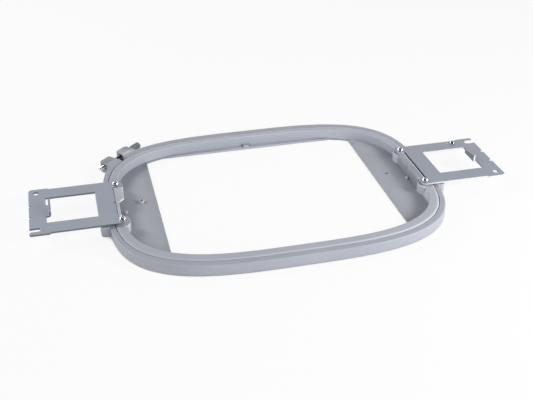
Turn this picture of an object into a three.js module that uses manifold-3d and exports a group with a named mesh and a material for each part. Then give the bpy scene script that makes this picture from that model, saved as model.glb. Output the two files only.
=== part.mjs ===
// Machine embroidery hoop: a split outer ring with a clamp screw, and an inner ring that carries a
// steel bracket at each end for the machine's arms. Millimetres, +Z up, +X along the brackets, with
// the origin under the hoop's centre on the surface that it lies on.
import * as THREE from "three";
import { mergeVertices } from "three/addons/utils/BufferGeometryUtils.js";
import Module from "manifold-3d";

const wasm = await Module();
wasm.setup();

// Rings: every outline in plan is a superellipse with one squareness
const CORNER_POWER = 3.33;
const HOOP_HALF_X = 164.5;
const HOOP_HALF_Y = 120;
const INNER_WALL_END = 10;
const INNER_WALL_SIDE = 8.3;
const CLOTH_GAP = 0.5;
const OUTER_WALL_END = 4.2;
const OUTER_WALL_SIDE = 9.4;
const RING_HEIGHT = 13;
const OUTER_BELOW_INNER = 0.7;
const RING_EDGE = 0.8;

// Floor of the inner ring, open over the sewing field
const FLOOR_THICKNESS = 2;
const FIELD_HALF_X = 123.3;
const FIELD_HALF_Y = 112;

// Bracket plates: the spacing of the machine's pins sets their width
const PIN_HALF_SPACING = 36.6;
const PIN_HOLE_RADIUS = 3.1;
const PIN_HOLE_FROM_END = 7.7;
const PIN_SLOT_LENGTH = 11.3;
const FINGER_WIDTH = 5.8;
const FINGER_TIP = 2;
const PLATE_THICKNESS = 2;
const PLATE_CLEARANCE = 1;
const PLATE_STEP = 1.75;
const PLATE_STEP_FROM_END = 19.5;
const PLATE_CORNER = 4;
const EAR_RADIUS = 6.75;
const EAR_DEPTH = 3.8;
const BAR_WIDTH = 18.75;
const INNER_BAR = 19.2;
const OUTER_BAR = 17.3;
const WINDOW_LENGTH = 51.8;
const WINDOW_CORNER = 1.2;
const NOTCH_HALF_SPACING = 11.4;
const NOTCH_HALF_WIDTH = 2;
const NOTCH_DEPTH = 2.6;

// Upright tab bent from the outer side of the bracket's window
const TAB_REACH = 4.9;
const TAB_FRONT = 9.9;
const TAB_BACK = 12.4;
const TAB_TALL = 7.8;
const TAB_LOW = 4.4;
const BEND_RADIUS = 1;

// Pan-head screws of the brackets, and the threaded inserts that they turn into
const SCREW_RADIUS = 2;
const HEAD_RADIUS = 3.8;
const HEAD_HEIGHT = 2.8;
const HEAD_RIM = 1.5;
const SCREW_LENGTH = 11;
const SCREW_POINT = 0.6;
const SCREW_FIT = 0.3;
const SCREW_TIP_ROOM = 1;
const INSERT_WALL = 0.9;
const INSERT_LENGTH = 8;
const INSERT_FIT = 0.3;
const BOSS_WALL = 1.9;
const BOSS_REACH = 7.6;
const BOSS_SHOULDER = 3.5;
const BOSS_FACE_HALF = 3;
const BOSS_ROOT_HALF = 8.6;

// Lips, pegs and eyelet moulded on the inner ring
const LIP_SLOT = 1.7;
const LIP_THIN = 2.9;
const LIP_THICK_LEFT = 9.3;
const LIP_THICK_RIGHT = 5.6;
const LIP_BELOW_PLATE_TOP = 0.4;
const LIP_END_GAP = 0.6;
const PEG_RADIUS = 2;
const PEG_HEIGHT = 3;
const PEG_FROM_WALL = 6;
const PEG_IN_FRONT = 3.6;
const EYELET_FROM_FIELD = 16.7;
const EYELET_BEHIND = 15;
const EYELET_RADIUS = 3;
const EYELET_HOLE = 1.3;
const EYELET_HEIGHT = 3;

// Index screw with its nut, and the small hole beside it, on one bracket only
const INDEX_FROM_END = 26.1;
const INDEX_FROM_EDGE = 5.2;
const INDEX_RADIUS = 1.75;
const INDEX_HEAD_RADIUS = 3.3;
const INDEX_HEAD_HEIGHT = 2.3;
const INDEX_HEAD_RIM = 1.2;
const INDEX_LENGTH = 7;
const INDEX_NUT_WALL = 1.15;
const INDEX_NUT_HEIGHT = 3;
const INDEX_HOLE_RADIUS = 1.8;
const INDEX_HOLE_FROM_SCREW = 5.6;
const INDEX_HOLE_FROM_EDGE = 3.4;

// End blocks of the outer ring, under the brackets
const BLOCK_REACH = 8;
const BLOCK_HALF_WIDTH = 41;
const BLOCK_BELOW_TOP = 1.5;
const BLOCK_CORNER = 3.5;

// Clamp on one corner of the outer ring: two lugs, a captive nut, a screw, its washer and its knob
const CLAMP_ANGLE = THREE.MathUtils.degToRad(135);
const CLAMP_AXIS_OUT = 6.5;
const CLAMP_AXIS_BELOW_TOP = 5.5;
const CLAMP_RADIUS = 2;
const CLAMP_FIT = 0.4;
const CLAMP_NUT_WALL = 1.2;
const CLAMP_NUT_HEIGHT = 3.2;
const NUT_FIT = 0.3;
const POCKET_DEPTH = 7;
const NUT_LUG_LENGTH = 14.5;
const HEAD_LUG_LENGTH = 15;
const LUG_WALL = 2.4;
const LUG_CORNER = 3;
const SPLIT_NUT_SIDE = 6.5;
const SPLIT_HEAD_SIDE = 3.2;
const SPLIT_FLARE = 0.48;
const RECESS_ROOM = 2.3;
const RECESS_SHIFT = 1.3;
const RECESS_DEPTH = 6;
const TIP_PAST_LUG = 8;
const WASHER_WALL = 2.4;
const WASHER_THICKNESS = 1;
const KNOB_WALL = 1.7;
const KNOB_LENGTH = 15.5;
const KNOB_EDGE = 0.8;
const KNOB_BORE_DEPTH = 9;
const KNOB_SLOT_WIDTH = 1.2;
const KNOB_SLOT_DEPTH = 1.5;
const SEAT_GAP = 0.3;

// Facets, and how far a cut runs past the face that it opens
const OUTLINE_STEPS = 120;
const ROUND_STEPS = 20;
const CORNER_STEPS = 6;
const DOME_STEPS = 4;
const OVERCUT = 1;

// Sizes that follow from the ones above
const SEAM_X = HOOP_HALF_X + INNER_WALL_END;
const SEAM_Y = HOOP_HALF_Y + INNER_WALL_SIDE;
const OUTER_X = SEAM_X + CLOTH_GAP + OUTER_WALL_END;
const OUTER_Y = SEAM_Y + CLOTH_GAP + OUTER_WALL_SIDE;
const OUTER_HEIGHT = RING_HEIGHT - OUTER_BELOW_INNER;
const SEAT_Z = RING_HEIGHT + PLATE_CLEARANCE;
const PLATE_TOP = SEAT_Z + PLATE_THICKNESS;
const SCREW_X = HOOP_HALF_X;
const PLATE_INNER_X = SCREW_X + EAR_DEPTH;
const WINDOW_INNER_X = PLATE_INNER_X + INNER_BAR;
const WINDOW_OUTER_X = WINDOW_INNER_X + WINDOW_LENGTH;
const PLATE_END_X = WINDOW_OUTER_X + OUTER_BAR;
const END_EDGE_Y = PIN_HALF_SPACING + PIN_HOLE_RADIUS + FINGER_WIDTH;
const BAR_EDGE_Y = END_EDGE_Y - PLATE_STEP;
const SCREW_Y = BAR_EDGE_Y - EAR_RADIUS;
const WINDOW_HALF_Y = BAR_EDGE_Y - BAR_WIDTH;
const STEP_X = PLATE_END_X - PLATE_STEP_FROM_END;
const SCREW_HOLE = SCREW_RADIUS + SCREW_FIT;
const INSERT_RADIUS = SCREW_HOLE + INSERT_WALL;
const BOSS_RADIUS = INSERT_RADIUS + INSERT_FIT + BOSS_WALL;
const INDEX_X = PLATE_END_X - INDEX_FROM_END;
const INDEX_Y = BAR_EDGE_Y - INDEX_FROM_EDGE;
const INDEX_HOLE = INDEX_RADIUS + SCREW_FIT;
const CLAMP_HEIGHT = RING_HEIGHT - CLAMP_AXIS_BELOW_TOP;
const CLAMP_BORE = CLAMP_RADIUS + CLAMP_FIT;
const CLAMP_NUT_BORE = CLAMP_RADIUS + SEAT_GAP;
const CLAMP_NUT_FLATS = 2 * (CLAMP_NUT_BORE + CLAMP_NUT_WALL);
const POCKET_FLATS = CLAMP_NUT_FLATS + 2 * NUT_FIT;
const KNOB_RADIUS = CLAMP_RADIUS + SEAT_GAP + KNOB_WALL;
const LUG_ROOT = OUTER_WALL_END + OUTER_WALL_SIDE;
const LUG_REACH = CLAMP_AXIS_OUT + POCKET_FLATS / Math.sqrt(3) + LUG_WALL;
const HEAD_LUG_END = SPLIT_HEAD_SIDE + SPLIT_FLARE * LUG_REACH + HEAD_LUG_LENGTH;
const NUT_LUG_END = -SPLIT_NUT_SIDE - NUT_LUG_LENGTH;
const RECESS_END = SPLIT_HEAD_SIDE + SPLIT_FLARE * CLAMP_AXIS_OUT + RECESS_DEPTH;

// A closed three.js geometry as a solid that can be joined and cut
function solid(geometry) {
  geometry.deleteAttribute("normal");
  geometry.deleteAttribute("uv");
  const merged = mergeVertices(geometry, 1e-4);
  const triangles = [];
  for (let i = 0; i < merged.index.count; i += 3) {
    const [a, b, c] = [0, 1, 2].map((k) => merged.index.getX(i + k));
    if (a !== b && b !== c && c !== a) triangles.push(a, b, c);
  }
  const vertProperties = new Float32Array(merged.attributes.position.array);
  const triVerts = new Uint32Array(triangles);
  return new wasm.Manifold(new wasm.Mesh({ numProp: 3, vertProperties, triVerts }));
}

// A named mesh from a finished solid
function piece(name, body, material) {
  const { vertProperties, triVerts } = body.getMesh();
  const geometry = new THREE.BufferGeometry();
  geometry.setAttribute("position", new THREE.BufferAttribute(vertProperties, 3));
  geometry.setIndex(new THREE.BufferAttribute(triVerts, 1));
  geometry.computeVertexNormals();
  const mesh = new THREE.Mesh(geometry, material);
  mesh.name = name;
  return mesh;
}

// Points of the outline |x / halfX|^n + |y / halfY|^n = 1, closer together at the corners
function outline(halfX, halfY) {
  const power = 2 / CORNER_POWER;
  const bent = (value) => Math.sign(value) * Math.abs(value) ** power;
  const points = [];
  for (let i = 0; i < OUTLINE_STEPS; i += 1) {
    const turn = ((i + 0.5) / OUTLINE_STEPS) * 2 * Math.PI;
    points.push(new THREE.Vector2(halfX * bent(Math.cos(turn)), halfY * bent(Math.sin(turn))));
  }
  return points;
}

// A flat shape raised from z = low to z = high, with its edges cut back by edge
function raised(shape, low, high, edge = 0) {
  const geometry = new THREE.ExtrudeGeometry(shape, {
    depth: high - low - 2 * edge,
    bevelEnabled: edge > 0,
    bevelThickness: edge,
    bevelSize: edge,
    bevelOffset: -edge,
    bevelSegments: 1,
    curveSegments: CORNER_STEPS,
  });
  return geometry.translate(0, 0, low + edge);
}

// An upright round bar standing at x, y
function post(radius, low, high, x = 0, y = 0) {
  const geometry = new THREE.CylinderGeometry(radius, radius, high - low, ROUND_STEPS);
  return geometry.rotateX(Math.PI / 2).translate(x, y, (low + high) / 2);
}

// A block between two corners
function block(x0, y0, z0, x1, y1, z1) {
  const geometry = new THREE.BoxGeometry(x1 - x0, y1 - y0, z1 - z0);
  return geometry.translate((x0 + x1) / 2, (y0 + y1) / 2, (z0 + z1) / 2);
}

// A rectangle with round corners, as a shape or, with the path given, as a hole's outline
function roundedRectangle(x0, y0, x1, y1, radius, path = new THREE.Shape()) {
  path.moveTo(x0 + radius, y0);
  path.lineTo(x1 - radius, y0);
  path.absarc(x1 - radius, y0 + radius, radius, -Math.PI / 2, 0);
  path.lineTo(x1, y1 - radius);
  path.absarc(x1 - radius, y1 - radius, radius, 0, Math.PI / 2);
  path.lineTo(x0 + radius, y1);
  path.absarc(x0 + radius, y1 - radius, radius, Math.PI / 2, Math.PI);
  path.lineTo(x0, y0 + radius);
  path.absarc(x0 + radius, y0 + radius, radius, Math.PI, 1.5 * Math.PI);
  return path;
}

// A full circle as a hole's outline
function circle(x, y, radius) {
  return new THREE.Path().absarc(x, y, radius, 0, 2 * Math.PI);
}

// A regular hexagon by the distance across its flats, with two flats square to its x axis
function hexagon(flats) {
  const corner = flats / Math.sqrt(3);
  const points = [];
  for (let i = 0; i < 6; i += 1) {
    const turn = ((i + 0.5) * Math.PI) / 3;
    points.push(new THREE.Vector2(corner * Math.cos(turn), corner * Math.sin(turn)));
  }
  return new THREE.Shape(points);
}

// A pan-head screw that points down, with the underside of its head at z = 0
function panHeadScrew(radius, length, headRadius, headHeight, headRim) {
  const dome = new THREE.EllipseCurve(0, headRim, headRadius, headHeight - headRim, 0, Math.PI / 2);
  const profile = [
    new THREE.Vector2(0, -length),
    new THREE.Vector2(radius - SCREW_POINT, -length),
    new THREE.Vector2(radius, -length + SCREW_POINT),
    new THREE.Vector2(radius, 0),
    new THREE.Vector2(headRadius, 0),
    ...dome.getPoints(DOME_STEPS),
  ];
  return new THREE.LatheGeometry(profile, ROUND_STEPS).rotateX(Math.PI / 2);
}

// Plan of a boss at the +X end: a pad that stands off the wall under an ear, with slanted sides
function bossPlan(y) {
  const root = HOOP_HALF_X + INNER_WALL_END / 2;
  return new THREE.Shape([
    new THREE.Vector2(root, y - BOSS_ROOT_HALF),
    new THREE.Vector2(root, y + BOSS_ROOT_HALF),
    new THREE.Vector2(SCREW_X - BOSS_SHOULDER, y + BOSS_ROOT_HALF),
    new THREE.Vector2(SCREW_X - BOSS_REACH, y + BOSS_FACE_HALF),
    new THREE.Vector2(SCREW_X - BOSS_REACH, y - BOSS_FACE_HALF),
    new THREE.Vector2(SCREW_X - BOSS_SHOULDER, y - BOSS_ROOT_HALF),
  ]);
}

// Plan of the lip at the +X end: thick in front, thin behind, with a step at 45 degrees between
function lipPlan(thick) {
  const end = SCREW_Y - EAR_RADIUS - LIP_END_GAP;
  const back = PLATE_INNER_X - LIP_SLOT;
  return new THREE.Shape([
    new THREE.Vector2(back, -end),
    new THREE.Vector2(back, end),
    new THREE.Vector2(back - LIP_THIN, end),
    new THREE.Vector2(back - LIP_THIN, 0),
    new THREE.Vector2(back - thick, LIP_THIN - thick),
    new THREE.Vector2(back - thick, -end),
  ]);
}

// Inner ring: wall, floor round the sewing field, and at each end a lip, a peg and two bosses, each
// with a round seat for the bracket's ear on top
function innerRing() {
  const inside = outline(HOOP_HALF_X, HOOP_HALF_Y);
  const wall = new THREE.Shape(outline(SEAM_X, SEAM_Y));
  wall.holes.push(new THREE.Path(inside));
  const midWallX = HOOP_HALF_X + INNER_WALL_END / 2;
  const midWallY = HOOP_HALF_Y + INNER_WALL_SIDE / 2;
  const slab = solid(raised(new THREE.Shape(outline(midWallX, midWallY)), 0, FLOOR_THICKNESS));
  const under = -OVERCUT;
  const over = FLOOR_THICKNESS + OVERCUT;
  const field = solid(block(-FIELD_HALF_X, -FIELD_HALF_Y, under, FIELD_HALF_X, FIELD_HALF_Y, over));
  const opening = field.intersect(solid(raised(new THREE.Shape(inside), under, over)));
  let body = solid(raised(wall, 0, RING_HEIGHT, RING_EDGE)).add(slab.subtract(opening));
  for (const [half, thick] of [[0, LIP_THICK_RIGHT], [Math.PI, LIP_THICK_LEFT]]) {
    const lip = raised(lipPlan(thick), 0, PLATE_TOP - LIP_BELOW_PLATE_TOP);
    body = body.add(solid(lip.rotateZ(half)));
    for (const y of [-SCREW_Y, SCREW_Y]) {
      body = body.add(solid(raised(bossPlan(y), 0, RING_HEIGHT).rotateZ(half)));
    }
  }
  const reliefLow = PLATE_TOP - SCREW_LENGTH - SCREW_TIP_ROOM;
  for (const side of [-1, 1]) {
    const pegX = side * (HOOP_HALF_X - PEG_FROM_WALL);
    body = body.add(solid(post(PEG_RADIUS, 0, FLOOR_THICKNESS + PEG_HEIGHT, pegX, -PEG_IN_FRONT)));
    for (const y of [-SCREW_Y, SCREW_Y]) {
      const x = side * SCREW_X;
      const seat = post(INSERT_RADIUS + INSERT_FIT, SEAT_Z - INSERT_LENGTH, SEAT_Z + OVERCUT, x, y);
      const relief = post(SCREW_HOLE, reliefLow, SEAT_Z, x, y);
      body = body.add(solid(post(BOSS_RADIUS, 0, SEAT_Z, x, y)));
      body = body.subtract(solid(seat)).subtract(solid(relief));
    }
  }
  const eyeletX = -FIELD_HALF_X - EYELET_FROM_FIELD;
  const eyeletTop = FLOOR_THICKNESS + EYELET_HEIGHT;
  body = body.add(solid(post(EYELET_RADIUS, 0, eyeletTop, eyeletX, EYELET_BEHIND)));
  return body.subtract(solid(post(EYELET_HOLE, under, eyeletTop + OVERCUT, eyeletX, EYELET_BEHIND)));
}

// The clamp's own axes: x along its screw towards the knob, y away from the ring, z up. Its origin
// lies on the outer ring's outline, where the outline faces CLAMP_ANGLE.
function clampFrame() {
  const ratio = CORNER_POWER / (CORNER_POWER - 1);
  const across = OUTER_X * Math.abs(Math.cos(CLAMP_ANGLE));
  const along = OUTER_Y * Math.abs(Math.sin(CLAMP_ANGLE));
  const norm = (across ** ratio + along ** ratio) ** (1 / CORNER_POWER);
  const x = (OUTER_X * across ** (ratio - 1)) / norm;
  const y = (OUTER_Y * along ** (ratio - 1)) / norm;
  const frame = new THREE.Matrix4().makeRotationZ(CLAMP_ANGLE - Math.PI / 2);
  const signX = Math.sign(Math.cos(CLAMP_ANGLE));
  return frame.setPosition(signX * x, Math.sign(Math.sin(CLAMP_ANGLE)) * y, 0);
}

// A shape in the plane across the clamp's axis, raised along that axis from start to end
function alongClamp(shape, start, end) {
  const geometry = raised(shape, start, end);
  geometry.rotateY(Math.PI / 2);
  return geometry.translate(0, CLAMP_AXIS_OUT, CLAMP_HEIGHT);
}

// A round section, with an optional bore
function roundSection(radius, bore = 0) {
  const shape = new THREE.Shape().absarc(0, 0, radius, 0, 2 * Math.PI);
  if (bore > 0) shape.holes.push(circle(0, 0, bore));
  return shape;
}

// An arch over the clamp's axis, its centre shifted down and towards the ring, with straight sides
// that run past the ring's underside
function archSection(radius) {
  const foot = CLAMP_HEIGHT + OVERCUT;
  const shape = new THREE.Shape();
  shape.absarc(RECESS_SHIFT, -RECESS_SHIFT, radius, Math.PI / 2, 1.5 * Math.PI);
  shape.lineTo(foot, -RECESS_SHIFT - radius);
  shape.lineTo(foot, -RECESS_SHIFT + radius);
  return shape;
}

// A hexagonal nut's section
function nutSection(flats, bore) {
  const shape = hexagon(flats);
  shape.holes.push(circle(0, 0, bore));
  return shape;
}

// Outer ring: a split wall with two clamp lugs at one corner and a block under each bracket. The lug
// on the knob's side is arched out round the screw where it faces the split.
function outerRing(frame) {
  const inside = outline(SEAM_X + CLOTH_GAP, SEAM_Y + CLOTH_GAP);
  const wall = new THREE.Shape(outline(OUTER_X, OUTER_Y));
  wall.holes.push(new THREE.Path(inside));
  const rootX = OUTER_X - OUTER_WALL_END;
  const reachX = OUTER_X + BLOCK_REACH;
  const blockPlan = roundedRectangle(rootX, -BLOCK_HALF_WIDTH, reachX, BLOCK_HALF_WIDTH, BLOCK_CORNER);
  const [rightBlock, leftBlock] = [0, Math.PI].map((half) => {
    return solid(raised(blockPlan, 0, RING_HEIGHT - BLOCK_BELOW_TOP).rotateZ(half));
  });
  let outside = rightBlock.add(leftBlock);
  for (const [start, end] of [[NUT_LUG_END, -SPLIT_NUT_SIDE], [-SPLIT_NUT_SIDE, HEAD_LUG_END]]) {
    const plan = roundedRectangle(start, -LUG_ROOT, end, LUG_REACH, LUG_CORNER);
    outside = outside.add(solid(raised(plan, 0, OUTER_HEIGHT).applyMatrix4(frame)));
  }
  const core = raised(new THREE.Shape(inside), -OVERCUT, OUTER_HEIGHT + OVERCUT);
  let body = solid(raised(wall, 0, OUTER_HEIGHT, RING_EDGE)).add(outside.subtract(solid(core)));
  const far = LUG_REACH + OVERCUT;
  const split = new THREE.Shape([
    new THREE.Vector2(-SPLIT_NUT_SIDE, -LUG_ROOT),
    new THREE.Vector2(SPLIT_HEAD_SIDE - SPLIT_FLARE * LUG_ROOT, -LUG_ROOT),
    new THREE.Vector2(SPLIT_HEAD_SIDE + SPLIT_FLARE * far, far),
    new THREE.Vector2(-SPLIT_NUT_SIDE, far),
  ]);
  const mouth = NUT_LUG_END - OVERCUT;
  const cuts = [
    raised(split, -OVERCUT, OUTER_HEIGHT + OVERCUT),
    alongClamp(roundSection(CLAMP_BORE), mouth, HEAD_LUG_END + OVERCUT),
    alongClamp(hexagon(POCKET_FLATS), mouth, NUT_LUG_END + POCKET_DEPTH),
    alongClamp(archSection(CLAMP_BORE + RECESS_ROOM), 0, RECESS_END),
  ];
  for (const cut of cuts) body = body.subtract(solid(cut.applyMatrix4(frame)));
  return body;
}

// Outline of the bracket at the +X end: ears round the screws, a hole and an open slot for the
// machine's pins, and two notches in the outer edge
function plateShape() {
  const slotNear = PIN_HALF_SPACING - PIN_HOLE_RADIUS;
  const slotFar = PIN_HALF_SPACING + PIN_HOLE_RADIUS;
  const slotRoundX = PLATE_END_X - PIN_SLOT_LENGTH + PIN_HOLE_RADIUS;
  const fingerX = PLATE_END_X - FINGER_TIP;
  const cornerX = PLATE_END_X - PLATE_CORNER;
  const earNear = SCREW_Y - EAR_RADIUS;
  const shape = new THREE.Shape();
  shape.moveTo(PLATE_INNER_X, -earNear);
  shape.lineTo(SCREW_X, -earNear);
  shape.absarc(SCREW_X, -SCREW_Y, EAR_RADIUS, Math.PI / 2, 1.5 * Math.PI);
  shape.lineTo(STEP_X - PLATE_STEP, -BAR_EDGE_Y);
  shape.lineTo(STEP_X, -END_EDGE_Y);
  shape.lineTo(cornerX, -END_EDGE_Y);
  shape.absarc(cornerX, -END_EDGE_Y + PLATE_CORNER, PLATE_CORNER, -Math.PI / 2, 0);
  for (const y of [-NOTCH_HALF_SPACING, NOTCH_HALF_SPACING]) {
    shape.lineTo(PLATE_END_X, y - NOTCH_HALF_WIDTH);
    shape.lineTo(PLATE_END_X - NOTCH_DEPTH, y);
    shape.lineTo(PLATE_END_X, y + NOTCH_HALF_WIDTH);
  }
  shape.lineTo(PLATE_END_X, slotNear);
  shape.lineTo(slotRoundX, slotNear);
  shape.absarc(slotRoundX, PIN_HALF_SPACING, PIN_HOLE_RADIUS, -Math.PI / 2, Math.PI / 2, true);
  shape.lineTo(fingerX, slotFar);
  shape.absarc(fingerX, slotFar + FINGER_TIP, FINGER_TIP, -Math.PI / 2, 0);
  shape.lineTo(PLATE_END_X, END_EDGE_Y - FINGER_TIP);
  shape.absarc(fingerX, END_EDGE_Y - FINGER_TIP, FINGER_TIP, 0, Math.PI / 2);
  shape.lineTo(STEP_X, END_EDGE_Y);
  shape.lineTo(STEP_X - PLATE_STEP, BAR_EDGE_Y);
  shape.lineTo(SCREW_X, BAR_EDGE_Y);
  shape.absarc(SCREW_X, SCREW_Y, EAR_RADIUS, Math.PI / 2, 1.5 * Math.PI);
  shape.lineTo(PLATE_INNER_X, earNear);
  const corners = [WINDOW_INNER_X, -WINDOW_HALF_Y, WINDOW_OUTER_X, WINDOW_HALF_Y, WINDOW_CORNER];
  shape.holes.push(roundedRectangle(...corners, new THREE.Path()));
  shape.holes.push(circle(PLATE_END_X - PIN_HOLE_FROM_END, -PIN_HALF_SPACING, PIN_HOLE_RADIUS));
  for (const y of [-SCREW_Y, SCREW_Y]) shape.holes.push(circle(SCREW_X, y, SCREW_HOLE));
  return shape;
}

// The tab: its section runs from the plate into the window and turns upwards, and its upper edge
// slopes from the tall end to the low one
function uprightTab() {
  const root = WINDOW_OUTER_X + PLATE_THICKNESS;
  const tip = WINDOW_OUTER_X - TAB_REACH;
  const outerBend = BEND_RADIUS + PLATE_THICKNESS;
  const top = PLATE_TOP + TAB_TALL;
  const section = new THREE.Shape();
  section.moveTo(root, SEAT_Z);
  section.lineTo(root, PLATE_TOP);
  section.lineTo(tip + outerBend, PLATE_TOP);
  section.absarc(tip + outerBend, PLATE_TOP + BEND_RADIUS, BEND_RADIUS, -Math.PI / 2, -Math.PI, true);
  section.lineTo(tip + PLATE_THICKNESS, top);
  section.lineTo(tip, top);
  section.lineTo(tip, SEAT_Z + outerBend);
  section.absarc(tip + outerBend, SEAT_Z + outerBend, outerBend, Math.PI, 1.5 * Math.PI);
  const bent = raised(section, -TAB_BACK, TAB_FRONT).rotateX(Math.PI / 2);
  const slope = new THREE.Shape([
    new THREE.Vector2(-TAB_FRONT, top),
    new THREE.Vector2(TAB_BACK, PLATE_TOP + TAB_LOW),
    new THREE.Vector2(TAB_BACK + OVERCUT, PLATE_TOP + TAB_LOW),
    new THREE.Vector2(TAB_BACK + OVERCUT, top + OVERCUT),
    new THREE.Vector2(-TAB_FRONT, top + OVERCUT),
  ]);
  const acrossTab = new THREE.Matrix4().makeBasis(
    new THREE.Vector3(0, 1, 0),
    new THREE.Vector3(0, 0, 1),
    new THREE.Vector3(1, 0, 0),
  );
  const waste = raised(slope, tip - OVERCUT, root + OVERCUT).applyMatrix4(acrossTab);
  return solid(bent).subtract(solid(waste));
}

// Bracket for the +X end
function bracket() {
  return solid(raised(plateShape(), SEAT_Z, PLATE_TOP)).add(uprightTab());
}

// The same bracket with the index screw's hole and the small hole beside it
function indexedBracket() {
  const smallX = INDEX_X - INDEX_HOLE_FROM_SCREW;
  const smallY = BAR_EDGE_Y - INDEX_HOLE_FROM_EDGE;
  const under = SEAT_Z - OVERCUT;
  const over = PLATE_TOP + OVERCUT;
  const screwHole = solid(post(INDEX_HOLE, under, over, INDEX_X, INDEX_Y));
  const smallHole = solid(post(INDEX_HOLE_RADIUS, under, over, smallX, smallY));
  return bracket().subtract(screwHole).subtract(smallHole);
}

// Knob: a turned sleeve with a blind bore for the end of the clamp screw and a slot in its end
function knob() {
  const bore = CLAMP_RADIUS + SEAT_GAP;
  const profile = [
    [bore, 0],
    [KNOB_RADIUS - KNOB_EDGE, 0],
    [KNOB_RADIUS, KNOB_EDGE],
    [KNOB_RADIUS, KNOB_LENGTH - KNOB_EDGE],
    [KNOB_RADIUS - KNOB_EDGE, KNOB_LENGTH],
    [0, KNOB_LENGTH],
    [0, KNOB_BORE_DEPTH],
    [bore, KNOB_BORE_DEPTH],
    [bore, 0],
  ].map(([radius, along]) => new THREE.Vector2(radius, along));
  const turned = new THREE.LatheGeometry(profile, ROUND_STEPS).rotateZ(-Math.PI / 2);
  const halfSlot = KNOB_SLOT_WIDTH / 2;
  const wide = KNOB_RADIUS + OVERCUT;
  const slotBed = KNOB_LENGTH - KNOB_SLOT_DEPTH;
  const slot = block(slotBed, -wide, -halfSlot, KNOB_LENGTH + OVERCUT, wide, halfSlot);
  return solid(turned).subtract(solid(slot));
}

// Finishes
function finish(color, roughness, metalness) {
  return new THREE.MeshStandardMaterial({ color, roughness, metalness });
}
const outerPlastic = finish(0xa9aeb8, 0.5, 0);
const innerPlastic = finish(0xb1b6bf, 0.5, 0);
const satinSteel = finish(0x959ba8, 0.4, 0.8);
const brightSteel = finish(0xd0d3d8, 0.2, 1);
const brass = finish(0xb59a58, 0.35, 1);
const darkSteel = finish(0x7d8488, 0.45, 0.8);

const hoop = new THREE.Group();
const frame = clampFrame();
hoop.add(piece("outer_ring", outerRing(frame), outerPlastic));
hoop.add(piece("inner_ring", innerRing(), innerPlastic));

// The left bracket is the right one turned half a turn
const rightEnd = new THREE.Group();
const leftEnd = new THREE.Group();
leftEnd.rotation.z = Math.PI;
hoop.add(rightEnd, leftEnd);
rightEnd.add(piece("right_bracket", indexedBracket(), satinSteel));
leftEnd.add(piece("left_bracket", bracket(), satinSteel));

// Each end has a screw and an insert at both ears
const ends = [["right", rightEnd, ["front", "back"]], ["left", leftEnd, ["back", "front"]]];
for (const [end, group, places] of ends) {
  [-SCREW_Y, SCREW_Y].forEach((y, i) => {
    const screw = panHeadScrew(SCREW_RADIUS, SCREW_LENGTH, HEAD_RADIUS, HEAD_HEIGHT, HEAD_RIM);
    const screwMesh = piece(`${end}_${places[i]}_screw`, solid(screw), brightSteel);
    screwMesh.position.set(SCREW_X, y, PLATE_TOP);
    const sleeve = raised(roundSection(INSERT_RADIUS, SCREW_HOLE), 0, INSERT_LENGTH);
    const insertMesh = piece(`${end}_${places[i]}_insert`, solid(sleeve), brass);
    insertMesh.position.set(SCREW_X, y, SEAT_Z - INSERT_LENGTH);
    group.add(screwMesh, insertMesh);
  });
}

// Index screw and its nut on the right bracket
const indexScrew = panHeadScrew(
  INDEX_RADIUS,
  INDEX_LENGTH,
  INDEX_HEAD_RADIUS,
  INDEX_HEAD_HEIGHT,
  INDEX_HEAD_RIM,
);
const indexMesh = piece("index_screw", solid(indexScrew), brightSteel);
indexMesh.position.set(INDEX_X, INDEX_Y, PLATE_TOP);
const indexNutSection = nutSection(2 * (INDEX_HOLE + INDEX_NUT_WALL), INDEX_HOLE);
const indexNut = piece("index_nut", solid(raised(indexNutSection, -INDEX_NUT_HEIGHT, 0)), brightSteel);
indexNut.position.set(INDEX_X, INDEX_Y, SEAT_Z);
rightEnd.add(indexMesh, indexNut);

// Clamp: everything on the screw's axis, in the clamp's own axes
const clamp = new THREE.Group();
clamp.applyMatrix4(frame);
hoop.add(clamp);
const washerStart = HEAD_LUG_END + SEAT_GAP;
const washerEnd = washerStart + WASHER_THICKNESS;
const knobStart = washerEnd + SEAT_GAP;
const rodStart = NUT_LUG_END - TIP_PAST_LUG;
const rodEnd = knobStart + KNOB_BORE_DEPTH - SEAT_GAP;
const rod = alongClamp(roundSection(CLAMP_RADIUS), rodStart, rodEnd);
clamp.add(piece("clamp_screw", solid(rod), brightSteel));
const washer = alongClamp(roundSection(CLAMP_BORE + WASHER_WALL, CLAMP_BORE), washerStart, washerEnd);
clamp.add(piece("clamp_washer", solid(washer), brightSteel));
const knobMesh = piece("clamp_knob", knob(), darkSteel);
knobMesh.position.set(knobStart, CLAMP_AXIS_OUT, CLAMP_HEIGHT);
clamp.add(knobMesh);
const nutEnd = NUT_LUG_END + POCKET_DEPTH - SEAT_GAP;
const nut = alongClamp(nutSection(CLAMP_NUT_FLATS, CLAMP_NUT_BORE), nutEnd - CLAMP_NUT_HEIGHT, nutEnd);
clamp.add(piece("clamp_nut", solid(nut), brightSteel));

export default hoop;
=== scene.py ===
import bmesh
import bpy
import numpy as np
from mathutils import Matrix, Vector
from mathutils.geometry import tessellate_polygon


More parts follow.
